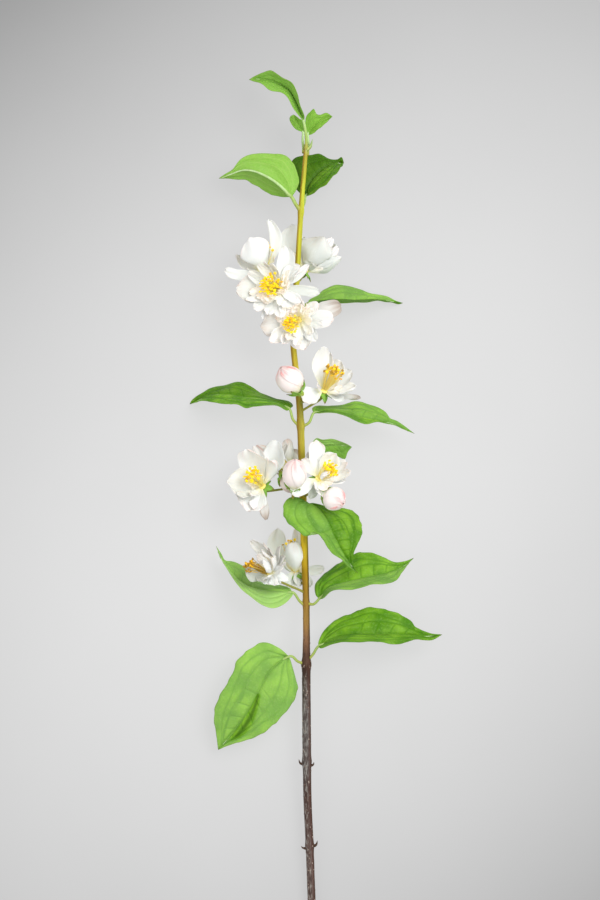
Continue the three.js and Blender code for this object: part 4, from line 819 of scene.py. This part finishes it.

# Each bloom is white and semi-double: five or six broad, cupped petals on a small green core, each thin,
# blunt and a little ruffled, with a greenish foot, and small frilled ones curling inside them. Petals that
# look away from the light get a painted cool grey-green shade. Some others get a painted mauve-grey shade
# towards the tip, which is partly real ageing. Some tips have a pink flush.
# A petal's tip is a pixel and a height over the base. Its width and its twist follow.
FACE_UP, FACE_DOWN = 1, -1
BLOOMS = [
    dict(name="bloom_high_left", base=(-38.5, 190, 27), facing=(-0.42, 0.86, 0.3), root=182,
      petals=[((249, 238.5, 11), 22, 0, 0, 0.55), ((268, 218.5, 3), 8.6, (FACE_UP, 20)),
      ((224, 270.5, 5), 8.8, (FACE_UP, 0)), ((246, 268, 2), 7, 0, -0.3), ((236, 255, -3), 9, 0, 0.3),
      ((256, 243, -13), 18, 0, -0.35), ((258, 248, 8), 9)], ruff=(3, 60, 150, 8, 13), flush=0.3,
      stamens=(22, 20, 13, (0.02, 0.97, 0.25))),
    dict(name="bloom_high_right", base=(-7.5, 190, 21), facing=(0.5, 0.84, -0.15), root=190,
      petals=[((291.5, 225, -3), 16, (FACE_UP, 0), -0.35), ((322, 236, 8), 26, 0, -0.48, 0.5, 1.4),
      ((341, 257, 2), 16, 0, -0.3), ((336, 243, -8), 18, 0, -0.45), ((307, 238, -12), 18, 0, -0.6),
      ((331, 238, 4), 12, 30), ((312, 262, 9), 11, 0, -0.5), ((337, 247, 5), 9, -20)],
      ruff=(3, 30, 120, 8, 15), flush=0.25, stamens=(16, 12, 20, (0.5, 0.84, 0))),
    dict(name="bloom_high_front", base=(-28, 175, 44), facing=(-0.5, 0.34, 0.8), root=174,
      petals=[((237, 288, 2), 20, 0, -0.45), ((286, 246, 1), 13, (FACE_UP, 15), -0.3, 0.5),
      ((300, 266, 6), 17, 0, -0.15, 0.5), ((308.5, 265, 10), 7, 40),
      ((320, 292.5, 2), 8.6, (FACE_UP, 0), -0.5), ((254, 309, 9), 10, 0, 0.05), ((268, 315, 12), 9),
      ((281, 318, 10), 8), ((296, 312, 9), 10), ((258, 265, 9), 6, 20, 0.1), ((264, 262, 8), 6, -15, 0.1),
      ((271, 263, 10), 6, 10), ((248, 272, 3), 9, 0, -0.2), ((262, 318, 8), 8, 0, 0.1),
      ((288, 315, 8), 8), ((301, 302, 10), 8), ((246, 300, 8), 8, 0, 0.1)], ruff=(26, 165, 395, 9, 19),
      flush=0.45, stamens=(66, 14, 34, (-0.42, 0.2, 0.88))),
    dict(name="bloom_high_low", base=(-12, 152.5, 45), facing=(-0.3, -0.2, 0.93), root=162,
      petals=[((261, 326, 5), 19, 0, 0.5), ((270, 341, 8), 10, 0, 0.1), ((303, 350, 5), 17),
      ((316, 341, 7), 9), ((334, 318, 5), 13, 0, 0.05), ((342, 305, -1), 14, 0, 0.75),
      ((282, 343, 9), 8, 0, 0.05), ((298, 298, 8), 10, 0, 0.05), ((277, 306, 3), 10, 0, 0.05),
      ((318, 303, 7), 9), ((311, 334, 12), 7), ((287, 340, 12), 7), ((322, 326, 11), 7),
      ((296, 346, 10), 8)], ruff=(22, 10, 270, 9, 18), flush=0.65,
      stamens=(52, 14, 23, (-0.5, -0.28, 0.82))),
    dict(name="bloom_middle", base=(6.5, 99, 34), facing=(0.34, 0.72, 0.6), root=84,
      petals=[((324.5, 346, 6), 12, -15), ((303, 401, 6), 13.5), ((341, 360, -3), 14),
      ((351, 370, -7), 15, 0, 0.35), ((355, 386, 9), 16), ((361, 398, 1), 9, 0, 0.7), ((342, 400, 9), 12),
      ((330, 352, -4), 9, -10, 0.15), ((318, 384, 10), 7)], ruff=(4, -60, 60, 8, 13), flush=0.3,
      ageing=0.3, stamens=(50, 20, 19, (0.4, 0.8, 0.44))),
    dict(name="bloom_low_left", base=(-39, 28, 33), facing=(-0.42, 0.42, 0.8), root=28,
      petals=[((229.5, 480, 8), 22, 0, -0.35), ((245, 450, 5), 22, 0, 0), ((254, 446, -3), 10, 20, 0.3),
      ((278, 440, 2), 19, 15, 0), ((269.5, 459, 15), 10.5, (FACE_DOWN, 0), 0, 0.45),
      ((246, 510, 8), 20, 0, -0.1), ((257, 511, 10), 11, 0, -0.05), ((266, 520, 7), 6.5, 0, 0.9),
      ((237, 494, 12), 7, 0, -0.4), ((288, 443, -4), 8, 0, 0.5), ((251, 494, 11), 9, 0, -0.1)],
      ruff=(3, 100, 200, 7, 11), flush=0.45, stamens=(36, 17, 18, (-0.46, 0.55, 0.7))),
    dict(name="bloom_low_right", base=(2, 34, 42), facing=(0.42, 0.34, 0.84), root=34,
      petals=[((317, 441, 2), 13.5, 0, -0.1), ((302, 459, 5), 9, 0, 0.25),
      ((290.5, 492.7, 6), 12.5, 0, -0.2), ((310, 499, 2), 7, 0, -0.9), ((323, 497, 7), 9),
      ((336, 454, 3), 15, 0, -0.1), ((347, 462, 2), 11), ((351, 472, 8), 9), ((330, 472, 13), 7, 0, 0.05),
      ((308, 452, -2), 9, 0, 0.4), ((345, 480, 4), 8, 0, 0.1), ((316, 489, 10), 7)],
      ruff=(5, -100, 20, 8, 13), flush=0.45, stamens=(44, 16.5, 16, (0.6, 0.5, 0.62))),
    dict(name="bloom_low_behind", base=(-19, 43, 17), facing=(-0.55, 0.6, -0.58), root=38,
      petals=[((256, 446, 3), 10, 0, 0.3), ((286, 439, 4), 10, 0, 0.5), ((297, 451, -6), 14, 0, 1.0),
      ((278, 473, -10), 11, 0, 0.9), ((262, 462, -7), 14, 0, 0.5)], ruff=(0, 0, 90, 8, 12), flush=0.8,
      stamens=(12, 12, 20, (-0.5, 0.6, -0.6))),
    dict(name="bloom_foot_left", base=(-34, -37, 31), facing=(-0.6, 0.62, 0.5), root=-52,
      petals=[((251, 540, 1), 8, 30, 0.3), ((263, 543, 4), 7, -20, 0.5), ((261, 551, 9), 8, 0, 0.3),
      ((268, 549, 5), 8, 10, 0.55), ((279, 547, 8), 11, 0, 0.5), ((284, 556, 9), 9, 0, 0.5),
      ((246, 569, 9), 9, (FACE_UP, 0), -0.8), ((258, 581, 7), 14, 0, -0.6), ((268, 584, 11), 8),
      ((283, 566, 15), 7, 40, 0.3), ((280, 584, 10), 7, 0, 0.1), ((273, 556, 16), 8, 0, 0.1),
      ((262, 560, 17), 7, 20, 0.3), ((286, 562, 14), 7, -30, 0.4), ((275, 585.1, 13), 7, 0, 0.2),
      ((288, 581, 8), 8), ((256, 556, 12), 7, 0, 0.5), ((266, 577, 17), 7, 0, 0.15)],
      ruff=(8, 20, 160, 7, 13), flush=0.25, ageing=0.85, stamens=(40, 19, 11, (-0.84, 0.36, 0.38))),
    dict(name="bloom_foot_right", base=(-15, -37, 12), facing=(-0.1, 0.97, 0.24), root=-45,
      petals=[((293, 541.5, 15), 15, 0, 0, 0.5), ((277, 528, 2), 13, (FACE_UP, 15), 0),
      ((296, 530, -3), 11), ((325, 568, -2), 7.5, (FACE_UP, 0)), ((311, 587, -4), 8, (FACE_UP, 0), -0.6),
      ((282, 560, 8), 10, 0, 0.3), ((290.5, 588.5, 8), 13, (FACE_UP, 0), -0.55),
      ((300, 586, 6), 9, 0, -0.4)], ruff=(2, 60, 120, 8, 12), flush=0.25, ageing=0.3,
      stamens=(12, 25, 9, (-0.12, 0.9, 0.42))),
]
UP = np.array([0.0, 0.0, 1.0])
PETAL = 0.4
PETAL_CELLS, FRILL_CELLS = (30, 21), (18, 11)
CORE_HEIGHT, CORE_FOOT = 1.1, 2.34
PETAL_WIDEST, CLAW, CLAW_TAPER = 0.64, 0.15, 1.2
BLUNT, TIP_ROUNDNESS = 0.26, 2.9
PETAL_CUP, PETAL_LEAN = 0.36, math.tan(math.radians(12))
PETAL_BULGE, LEAST_STEEPNESS = 0.16, 0.35
LARGE_PETAL, PETAL_GLOW = 11, 0.34


def bloom_frame(bloom):
    """The middle of a bloom's base, the way that it faces, and two directions across it."""
    axis = unit(np.array(bloom["facing"], float))
    side = unit(np.cross(axis, UP if abs(axis[2]) <= 0.9 else np.array([0.0, 1.0, 0.0])))
    return np.array(bloom["base"], float), axis, side, np.cross(side, axis)


def turned(vector, axis, angle):
    c, s = math.cos(angle), math.sin(angle)
    return vector * c + np.cross(axis, vector) * s + axis * axis.dot(vector) * (1 - c)


def petal_outline(t):
    claw = CLAW + (1 - CLAW) * np.sin(np.pi / 2 * np.minimum(t / PETAL_WIDEST, 1)) ** CLAW_TAPER
    end = np.clip((t - PETAL_WIDEST) / (1 - PETAL_WIDEST), 0, 1)
    return np.where(t < PETAL_WIDEST, claw, BLUNT + (1 - BLUNT) * np.sqrt(1 - end**TIP_ROUNDNESS))


def petal_sheet(place, draws, flush, tip, width, twist=0, shade=0, cup=PETAL_CUP, frill=None):
    """A petal from the core to its tip, turned by twist about its length, or from lying flat."""
    cells = PETAL_CELLS if width > LARGE_PETAL else FRILL_CELLS
    frill = frill or (1.0 if width > LARGE_PETAL else 1.6)
    base, axis, _, _ = place
    reach = np.array(tip, float)
    outwards = unit(reach - axis * reach.dot(axis))
    foot = base + axis * CORE_HEIGHT + outwards * CORE_FOOT
    chord = base + reach - foot
    length = np.linalg.norm(chord)
    inwards = unit(axis - chord * axis.dot(chord) / length**2)
    steep = max(0, LEAST_STEEPNESS + axis.dot(reach) / np.linalg.norm(reach))
    middle = foot + chord / 2 - inwards * (2 * PETAL_BULGE * steep * length)
    t = (1 - (1 - np.linspace(0, 1, cells[0])) ** 1.5)[:, None, None]
    s = np.linspace(-1, 1, cells[1])[None, :, None]
    spine = foot * (1 - t) ** 2 + middle * 2 * t * (1 - t) + (base + reach) * t**2
    along = unit((middle - foot) * (1 - t) + (base + reach - middle) * t)
    level = unit(np.cross(chord, axis))
    if isinstance(twist, tuple):
        flat = unit(np.cross(chord, twist[0] * UP))
        turn = math.atan2(np.cross(level, flat).dot(unit(chord)), level.dot(flat))
        twist = round(math.degrees(turn) + twist[1])
    level = turned(level, unit(chord), math.radians(twist))
    face = unit(np.cross(level, along))
    half = width / 2 * petal_outline(t)

    phase = draws.uniform(0, 6.28, 5)
    beats = draws.uniform(1.2, 2.2, 3)
    notch = draws.uniform(-0.02, 0.045) * length
    far = np.abs(s)
    wavy = np.sin(phase[1] + 3 * np.sign(s) + 9 * t)
    half = half * (1 + 0.05 * frill * far**2 * wavy * eased(t, 0.3, 0.7))
    lead = -0.04 * length * far**2 * t - notch * groove(s + 0.2 * math.cos(phase[0]), 0.5) * t**9
    lead = lead + (frill - 0.6) * 0.02 * length * t**6 * np.sin(5 * s + phase[2])
    edge = np.sin(phase[3] + beats[0] * np.pi * t + 1.3 * np.sign(s))
    edge = frill * far**2 * eased(t, 0.15, 0.6) * edge
    lip = frill * eased(t, 0.55, 1) * np.sin(beats[1] * np.pi * s + phase[4])
    rise = half * s * (cup * s + PETAL_LEAN) + half * (0.16 * edge + 0.13 * lip)
    rise = rise - 0.1 * width * draws.uniform(-0.3, 1.1) * eased(t, 0.72, 1) ** 2
    pleats = 0.1 * np.cos(26 * s + phase[0]) * eased(t, 0, 0.2) * (1 - far)
    rise = rise - (pleats + 0.3 * groove(s, 0.09) * (1 - t)) * min(1, width / 12)
    surface = spine + along * lead + level * (half * s) + face * rise
    t, s, far = t[..., 0], s[..., 0], far[..., 0]
    marks = {
        "petal": (s, t, draws.uniform(0, 1)), "flush": (flush * draws.uniform(0.2, 1.3),),
        "shade": (shade,), "inner": (float(frill > 2),),
    }
    return sheet_of(surface, PETAL * (1 - 0.5 * far**2) * (1 - 0.35 * t), marks)


def ruff_sheets(bloom, place, draws):
    """Small frilled petals among the stamens, spread over a sector that is seen from above."""
    axis = place[1]
    count, first, last, nearest, furthest = bloom["ruff"]
    sheets = []
    for k in range(count):
        turn = math.radians(first + (last - first) * (k + draws.uniform(0.2, 0.8)) / count)
        way = np.array([math.cos(turn), math.sin(turn), 0.0])
        out = unit(way - axis * axis.dot(way))
        tip = axis * draws.uniform(6, 11) + out * draws.uniform(nearest, furthest)
        width, twist = draws.uniform(4.5, 9), draws.uniform(-45, 45)
        sheets.append(petal_sheet(place, draws, bloom["flush"], tip, width, twist, frill=2.2))
    return sheets


# Fine veins that fan out over a petal, its foot, its outer end and patches, as masks
petal_group, given = group_called("Shader", "petal_veins", {
    "Veins Across": 9.0, "Vein Softness": 0.3,
}, ["Veins", "Foot", "Tip", "Streaks"])
s, t, chance = parted(mark(petal_group, "petal", "Vector"))
sway = vector_of(s * given["Veins Across"], t * 1.4, chance * 40)
patch = noise(sway, 0.5, 2)
outer_end = t + maths("POWER", abs(s), 3) * 0.07 + (patch - 0.5) * 0.3
gives(
    petal_group, faded(abs(noise(sway, 1.6, 3, 0.6) - 0.5), given["Vein Softness"], 0),
    faded(t, 0.34, 0.02), faded(outer_end, 0.62, 1.05), faded(patch, 0.4, 0.65),
)


def petal_finish(name, white, shade, foot, blush, strength):
    """Thin petal skin: white with faint veins, a tinted foot, a blush on the tip and back, painted shade
    from the shade mark, and a faint glow that lifts its shadows.
    """
    material, tree, shader = finish_called(
        name, 0.5, Specular_IOR_Level=0.15, Subsurface_Weight=0.25, Subsurface_Scale=0.0012,
        Subsurface_Radius=(1.0, 0.85, 0.7), Sheen_Weight=0.15, Emission_Strength=PETAL_GLOW,
    )
    marks = add(tree, "ShaderNodeGroup", out=None, node_tree=petal_group)
    _, _, own = parted(mark(tree, "petal", "Vector"))
    back = add(tree, "ShaderNodeMapRange", {"Value": mark(tree, "underside"), "To Min": 0.5, "To Max": 1.0})
    blushed = marks["Tip"] * mark(tree, "flush") * back * (marks["Streaks"] + 0.5) * strength
    ageing_and_painted_shade = mark(tree, "shade")
    dusky = marks["Tip"] * 0.7 + 0.28 + marks["Veins"] * 0.15
    # Where the shade mark is above 0, the petal turns mauve-grey towards its tip, partly real ageing and
    # partly painted shade. Below 0 it gets a painted cool grey-green shade.
    feed(shader, Base_Color=layered(
        mixed(marks["Veins"] * 0.16, white, shade),
        (faded(own, 0.3, 1) * 0.32, shade), (marks["Foot"] * 0.75, foot),
        (maths("MINIMUM", blushed, 1), blush), (faded(ageing_and_painted_shade, 0, 1) * dusky, "#a19488"),
        (faded(ageing_and_painted_shade, 0, -1) * 0.8, "#a4aa9c"),
    ))
    # The petals glow a little, in grey over most of the petal and in warm cream on the foot and the inner
    # frills. This is painted light that lifts their shadows.
    lit = maths("MAXIMUM", marks["Foot"] * 0.6, mark(tree, "inner"))
    feed(shader, Emission_Color=mixed(lit, "#484847", "#c0ae8c"))
    relief(shader, marks["Veins"], 0.08)
    return material


petal_skin = petal_finish("petal_skin", "#eff1ee", "#d9dbd3", "#e8e8b2", "#efbcb4", 0.8)

for number, bloom in enumerate(BLOOMS):
    draws = np.random.default_rng(300 + number)
    place = bloom_frame(bloom)
    tips = [(seen(*tip, bloom["base"]), *shape) for tip, *shape in bloom["petals"]]
    sheets = [petal_sheet(place, draws, bloom["flush"], *petal) for petal in tips]
    sheets += ruff_sheets(bloom, place, draws)
    petals = piece_of(bloom["name"] + "_corolla", sheets, petal_skin)
    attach(petals, "root")
    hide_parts(bloom["name"] + "_petals")

# Stamens: a dense brush of pale threads from the bloom's green core, each with a two-lobed
# yellow anther at its end, the outer threads leaning further out and a little shorter.
rule, given = group_called("Geometry", "stamen_brush", {
    "Mesh": "Geometry", "Stamens": 30, "Length": 0.013, "Spread": 0.6, "Foot Radius": 0.0016,
    "Foot Height": 0.0016, "Thread Radius": 0.00021, "Anther Length": 0.0021, "Seed": 1,
    "Base": "Vector", "Axis": "Vector", "Ageing": 0.0, "Thread": "Material", "Anther": "Material",
}, ["Mesh"])
GOLDEN_ANGLE = math.pi * (3 - math.sqrt(5))


def drawn(low, high, stream):
    inputs = {2: low, 3: high, "Seed": given["Seed"] + stream * 17}
    return add(rule, "FunctionNodeRandomValue", inputs, 1, data_type="FLOAT")


def aimed(vector):
    return add(rule, "FunctionNodeAlignRotationToVector", {"Vector": vector}, axis="Z")


def set_out(**inputs):
    return step("InstanceOnPoints", inputs)


def toned(mesh, tone, skin):
    mesh = {0: mesh, "Name": "tone", "Value": tone}
    mesh = step("StoreNamedAttribute", mesh, data_type="FLOAT", domain="INSTANCE")
    return step("SetMaterial", {0: mesh, "Material": skin})


def together(*meshes):
    made = rule.nodes.new("GeometryNodeJoinGeometry")
    for each in meshes:
        rule.links.new(each.socket, made.inputs[0])
    return Flow(made.outputs[0])


index = step("InputIndex")
spread = maths("SQRT", (index + 0.3) / given["Stamens"])
turn = index * GOLDEN_ANGLE + drawn(-0.3, 0.3, 1)
slant = spread * given["Spread"] + drawn(-0.14, 0.14, 2)
cosine, sine, lean = maths("COSINE", turn), maths("SINE", turn), maths("SINE", slant)
way = vector_of(cosine * lean, sine * lean, maths("COSINE", slant))
out = spread * given["Foot Radius"]
start = vector_of(cosine * out, sine * out, given["Foot Height"])
reach = (spread * -0.14 + drawn(0.86, 1.1, 3)) * given["Length"]
points = step("Points", {"Count": given["Stamens"], "Position": start})
spin = {"Axis": (0, 0, 1), "Angle": drawn(0, 6.28, 4)}
spin = add(rule, "FunctionNodeAxisAngleToRotation", spin)
aim = add(rule, "FunctionNodeRotateRotation", {0: spin, 1: aimed(way)}, rotation_space="GLOBAL")
bend = {"Resolution": 5, "Start": (0, 0, 0), "Middle": (0.0011, 0, 0.5), "End": (0, 0, 1)}
bend = step("CurveQuadraticBezier", bend)
ring = {"Resolution": 5, "Radius": given["Thread Radius"]}
ring = step("CurvePrimitiveCircle", ring)
thread = step("CurveToMesh", {0: bend, 1: ring, "Fill Caps": True})
threads = set_out(Points=points, Instance=thread, Rotation=aim, Scale=vector_of(1, 1, reach))
threads = toned(threads, given["Ageing"], given["Thread"])
tip = add(rule, "ShaderNodeVectorMath", {0: way, "Scale": reach}, operation="SCALE")
ends = step("SetPosition", {0: points, "Offset": tip})
lobe = step("MeshUVSphere", {"Segments": 7, "Rings": 5, "Radius": 0.5})
anther = together(*[step("Transform", {
    0: lobe, "Translation": (0.2 * sign, 0, 0), "Scale": (0.42, 0.46, 1),
}) for sign in (-1, 1)])
tipped = {0: way, 1: vector_of(drawn(-0.9, 0.9, 5), drawn(-0.9, 0.9, 6), drawn(-0.5, 0.5, 7))}
tilt = aimed(add(rule, "ShaderNodeVectorMath", tipped, operation="ADD"))
size = given["Anther Length"] * drawn(0.75, 1.15, 8)
anthers = set_out(Points=ends, Instance=anther, Rotation=tilt, Scale=size)
anthers = toned(anthers, drawn(0, 0.92, 9) + given["Ageing"], given["Anther"])
core = step("MeshUVSphere", {"Segments": 20, "Rings": 10, "Radius": 0.0029})
core = step("Transform", {0: core, "Translation": (0, 0, 0.0008), "Scale": (1, 1, 0.5)})
core = step("SetMaterial", {0: core, "Material": given["Thread"]})
brush = {0: together(threads, anthers, core), "Translation": given["Base"]}
brush["Rotation"] = aimed(given["Axis"])
brush = step("Transform", brush)
brush = step("RealizeInstances", {0: brush})
gives(rule, step("SetShadeSmooth", {0: brush, "Shade Smooth": True}))

thread_skin, tree, shader = finish_called(
    "stamen_thread", 0.5, Subsurface_Weight=0.2, Subsurface_Scale=0.0006,
)
pale = mixed(noise(where_in(tree), 700, 2), "#fbf0a0", "#f8de5a")
feed(shader, Base_Color=mixed(maths("MINIMUM", mark(tree, "tone"), 1), pale, "#e0bc50"))
# The anthers glow a little in their own yellow. This is painted light that lifts their shading.
anther_skin, tree, shader = finish_called("anther_pollen", 0.75, Emission_Strength=0.15)
grains = noise(where_in(tree), 4200, 2, 0.7)
yellow = [(0, "#ffe81c"), (0.6, "#ffdc14"), (0.88, "#f0b91c"), (1, "#a8811c")]
yellow = mixed(faded(grains, 0.52, 0.7) * 0.3, ramp(mark(tree, "tone"), yellow), "#b06a12")
feed(shader, Base_Color=yellow, Emission_Color=yellow)
relief(shader, grains, 0.12)

for number, bloom in enumerate(BLOOMS):
    count, length, spread, lean = bloom["stamens"]
    brush = grown(bloom["name"] + "_brush", rule, bpy.data.meshes.new("nothing"), {
        "Stamens": count, "Length": length * MM, "Spread": math.radians(spread), "Foot Radius": 1.6 * MM,
        "Foot Height": 1.8 * MM, "Thread Radius": 0.26 * MM, "Anther Length": 2.5 * MM, "Seed": 40 + number,
        "Base": tuple(np.array(bloom["base"]) * MM), "Axis": tuple(unit(np.array(lean, float))),
        "Ageing": bloom.get("ageing", 0.0), "Thread": thread_skin, "Anther": anther_skin,
    })
    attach(brush, "root")
    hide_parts(bloom["name"] + "_stamens")

# Buds are furled: five petals wound round each other, each with one margin over its neighbour's,
# creamy at the foot and pink along the margins and where they close.
BUDS = [
    dict(name="bud_middle", base=(-11.8, 99, 38), facing=(-0.6, 0.77, 0.22), length=23.5, radius=9.6,
         root=90, flush=1.3),
    dict(name="bud_low_front", base=(-16, 27, 44), facing=(0.06, 0.86, 0.5), length=25, radius=8.6,
         root=40, flush=0.9),
    dict(name="bud_low_right", base=(7.5, 23, 42), facing=(0.76, -0.42, 0.5), length=18, radius=8.6,
         root=20, flush=1.0),
    dict(name="bud_low_small", base=(-24, 35.5, 34), facing=(0.42, -0.75, 0.5), length=15, radius=4.6,
         root=36, flush=1.3, shade=0.6),
]
BUD_PROFILE = (0.2, 0.62, 0.9, 1, 0.98, 0.86, 0.6, 0.05)
BUD_PETALS, BUD_WRAP, BUD_WINDING = 5, 1.2, 0.9
INNER_PETALS, INNER_SHARE, INNER_WRAP = 3, 0.9, 1.7
profile = smooth_course([(k / 7, share, 0) for k, share in enumerate(BUD_PROFILE)])[0]


def bud_radius(bud, height):
    return bud["radius"] * np.interp(height / bud["length"], profile[:, 0], profile[:, 1])


def furled_sheet(bud, place, draws, k):
    """One wound petal. The last ones lie inside the others and close the bud."""
    base, axis, side, other = place
    within, more = (INNER_SHARE, INNER_WRAP) if k >= BUD_PETALS else (1, 1)
    t = np.linspace(0, 1, 40)[:, None]
    s = np.linspace(-1, 1, 33)[None, :]
    length = bud["length"] * draws.uniform(0.93, 1.0)
    high = t * length * (1 - 0.1 * np.abs(s) ** 2.5 * eased(t, 0.5, 1)) + 0.3
    wrap = 0.45 + 0.55 * np.sin(np.pi * np.minimum(t * 0.62 + 0.12, 0.62)) ** 0.8
    angle = 2 * np.pi * (k * more + draws.uniform(-0.08, 0.08)) / BUD_PETALS
    angle = angle + s * (more * BUD_WRAP * wrap) + BUD_WINDING * t
    over = 1 + 0.05 * s + 0.03 * eased(s, 0.6, 1) * eased(t, 0.4, 0.9) - 0.05 * eased(-s, 0.3, 1)
    out = bud_radius(bud, np.minimum(high, bud["length"] * 0.995)) * over * within
    out = out + 0.25 * np.sin(5 * t + 9 * s + k) * eased(t, 0.5, 1)
    out, high, angle = out[..., None], high[..., None], angle[..., None]
    surface = base + axis * high + (side * np.cos(angle) + other * np.sin(angle)) * out
    pink = 0.4 + 0.9 * np.abs(s) ** 3 + (0.4 if within < 1 else 0)
    marks = {
        "petal": (s, t, draws.uniform(0, 1)), "flush": (bud["flush"] * pink,),
        "shade": (bud.get("shade", 0),),
    }
    return sheet_of(surface, 0.45 * (1 - 0.4 * s**2), marks)


bud_skin = petal_finish("bud_skin", "#f4ebe7", "#eed8d1", "#e9e3c0", "#ec9f9c", 0.85)
for number, bud in enumerate(BUDS):
    draws = np.random.default_rng(500 + number)
    place = bloom_frame(bud)
    sheets = [furled_sheet(bud, place, draws, k) for k in range(BUD_PETALS + INNER_PETALS)]
    furled = piece_of(bud["name"] + "_furled", sheets, bud_skin)
    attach(furled, "root")
    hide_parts(bud["name"] + "_petals")

# Under each bloom and bud a green cup carries five pointed sepals, brownish at their tips, and a
# slender stalk joins it to the stem. The sepals droop under open blooms and clasp the buds.
CUP_PATH = [(-5, 1.2), (-3.9, 2.0), (-2.5, 2.6), (-1.2, 2.75), (-0.3, 2.5), (0.1, 1.7)]
PEDICEL_RADIUS, TWIG_BEND, CUP_DEPTH = 0.85, 3, 5
SEPALS, SEPAL_WIDTH, SEPAL_HOLD = 5, 4.6, 5
OPEN_SEPALS = (8.4, -4.8)
CALYX_BY_REACH = [
    (0, "#8d8a3a"), (0.3, "#97913f"), (0.42, "#93b048"), (0.55, "#8cc04c"), (0.85, "#84b848"),
    (0.98, "#8a5a3a"),
]

calyx_skin, tree, shader = finish_called("calyx_skin", 0.5, Specular_IOR_Level=0.2)
marks = add(tree, "ShaderNodeGroup", {"Streak Scale": 700}, None, node_tree=speckle)
green = ramp(mark(tree, "reach") * 0.5, CALYX_BY_REACH)
green = layered(green, (marks["Streaks"] * 0.35, "#6f8238"), (marks["Specks"] * 0.4, "#7a5a38"))
feed(shader, Base_Color=green)
relief(shader, marks["Streaks"], 0.06)


def sepal_sheet(place, draws, turn, out, up):
    base, axis, side, other = place
    outwards = side * math.cos(turn) + other * math.sin(turn)
    across = np.cross(axis, outwards)
    spots = [outwards * 1.9 + axis * -0.7, outwards * (0.5 * out + 1.2) + axis * (0.35 * up - 0.1),
             outwards * out + axis * up]
    line, ways = on_course(smooth_course(spots), np.linspace(0, 1, 14))
    t = np.linspace(0, 1, 14)[:, None]
    s = np.linspace(-1, 1, 9)[None, :]
    half = np.maximum(0.12, SEPAL_WIDTH / 2 * np.sin(np.pi * (0.3 + 0.7 * t)) ** 0.8)
    face = np.cross(across, ways)
    rise = (0.28 * s**2 - 0.1 * groove(s, 0.2)) * half + 0.25 * np.sin(4 * t + draws.uniform(0, 6)) * s
    surface = base + line[:, None] + across * (s * half)[..., None] + face[:, None] * rise[..., None]
    return sheet_of(surface, 0.45 * (1 - 0.4 * t), {"reach": (1 + t,)})


for number, flower in enumerate(BLOOMS + BUDS):
    draws = np.random.default_rng(700 + number)
    place = base, axis, _, _ = bloom_frame(flower)
    out, up = OPEN_SEPALS
    if "length" in flower:
        out, up = bud_radius(flower, SEPAL_HOLD) + 1.7, SEPAL_HOLD
    sheets = []
    for k in range(SEPALS):
        turn, reach = math.pi * (2 * k + 1.5) / SEPALS, out * draws.uniform(0.9, 1.02)
        sheets.append(sepal_sheet(place, draws, turn, reach, up * draws.uniform(0.7, 1.1)))
    sepals = piece_of(flower["name"] + "_sepals", sheets, calyx_skin)
    below = base - axis * (CUP_DEPTH + TWIG_BEND)
    foot = stem_at(flower["root"])
    stalk = smooth_course([foot, (foot + below) / 2, below, base - axis * CUP_DEPTH])
    shares = np.linspace(0, 1, 40)
    spots = on_course(stalk, shares)[0]
    radii = PEDICEL_RADIUS * (1 + 0.5 * groove(shares, 0.12) + 0.35 * eased(shares, 0.85, 1))
    cup = smooth_course([(up, out, 0) for up, out in CUP_PATH])[0][::12]
    spots = np.vstack([spots, base + axis * cup[1:, :1]])
    radii = np.concatenate([radii, cup[1:, 1]])
    stalk = grown(flower["name"] + "_stalk", skin_rule, path_mesh([(spots, radii)]), {
        "Sides": 14, "Furrow Depth": 0.12 * MM, "Furrow Scale": 1400.0, "Furrow Stretch": 0.6,
        "Skin": calyx_skin,
    })
    calyx = joined(flower["name"] + "_cup", [sepals, stalk])
    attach(calyx, "root")
    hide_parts(flower["name"] + "_calyx")
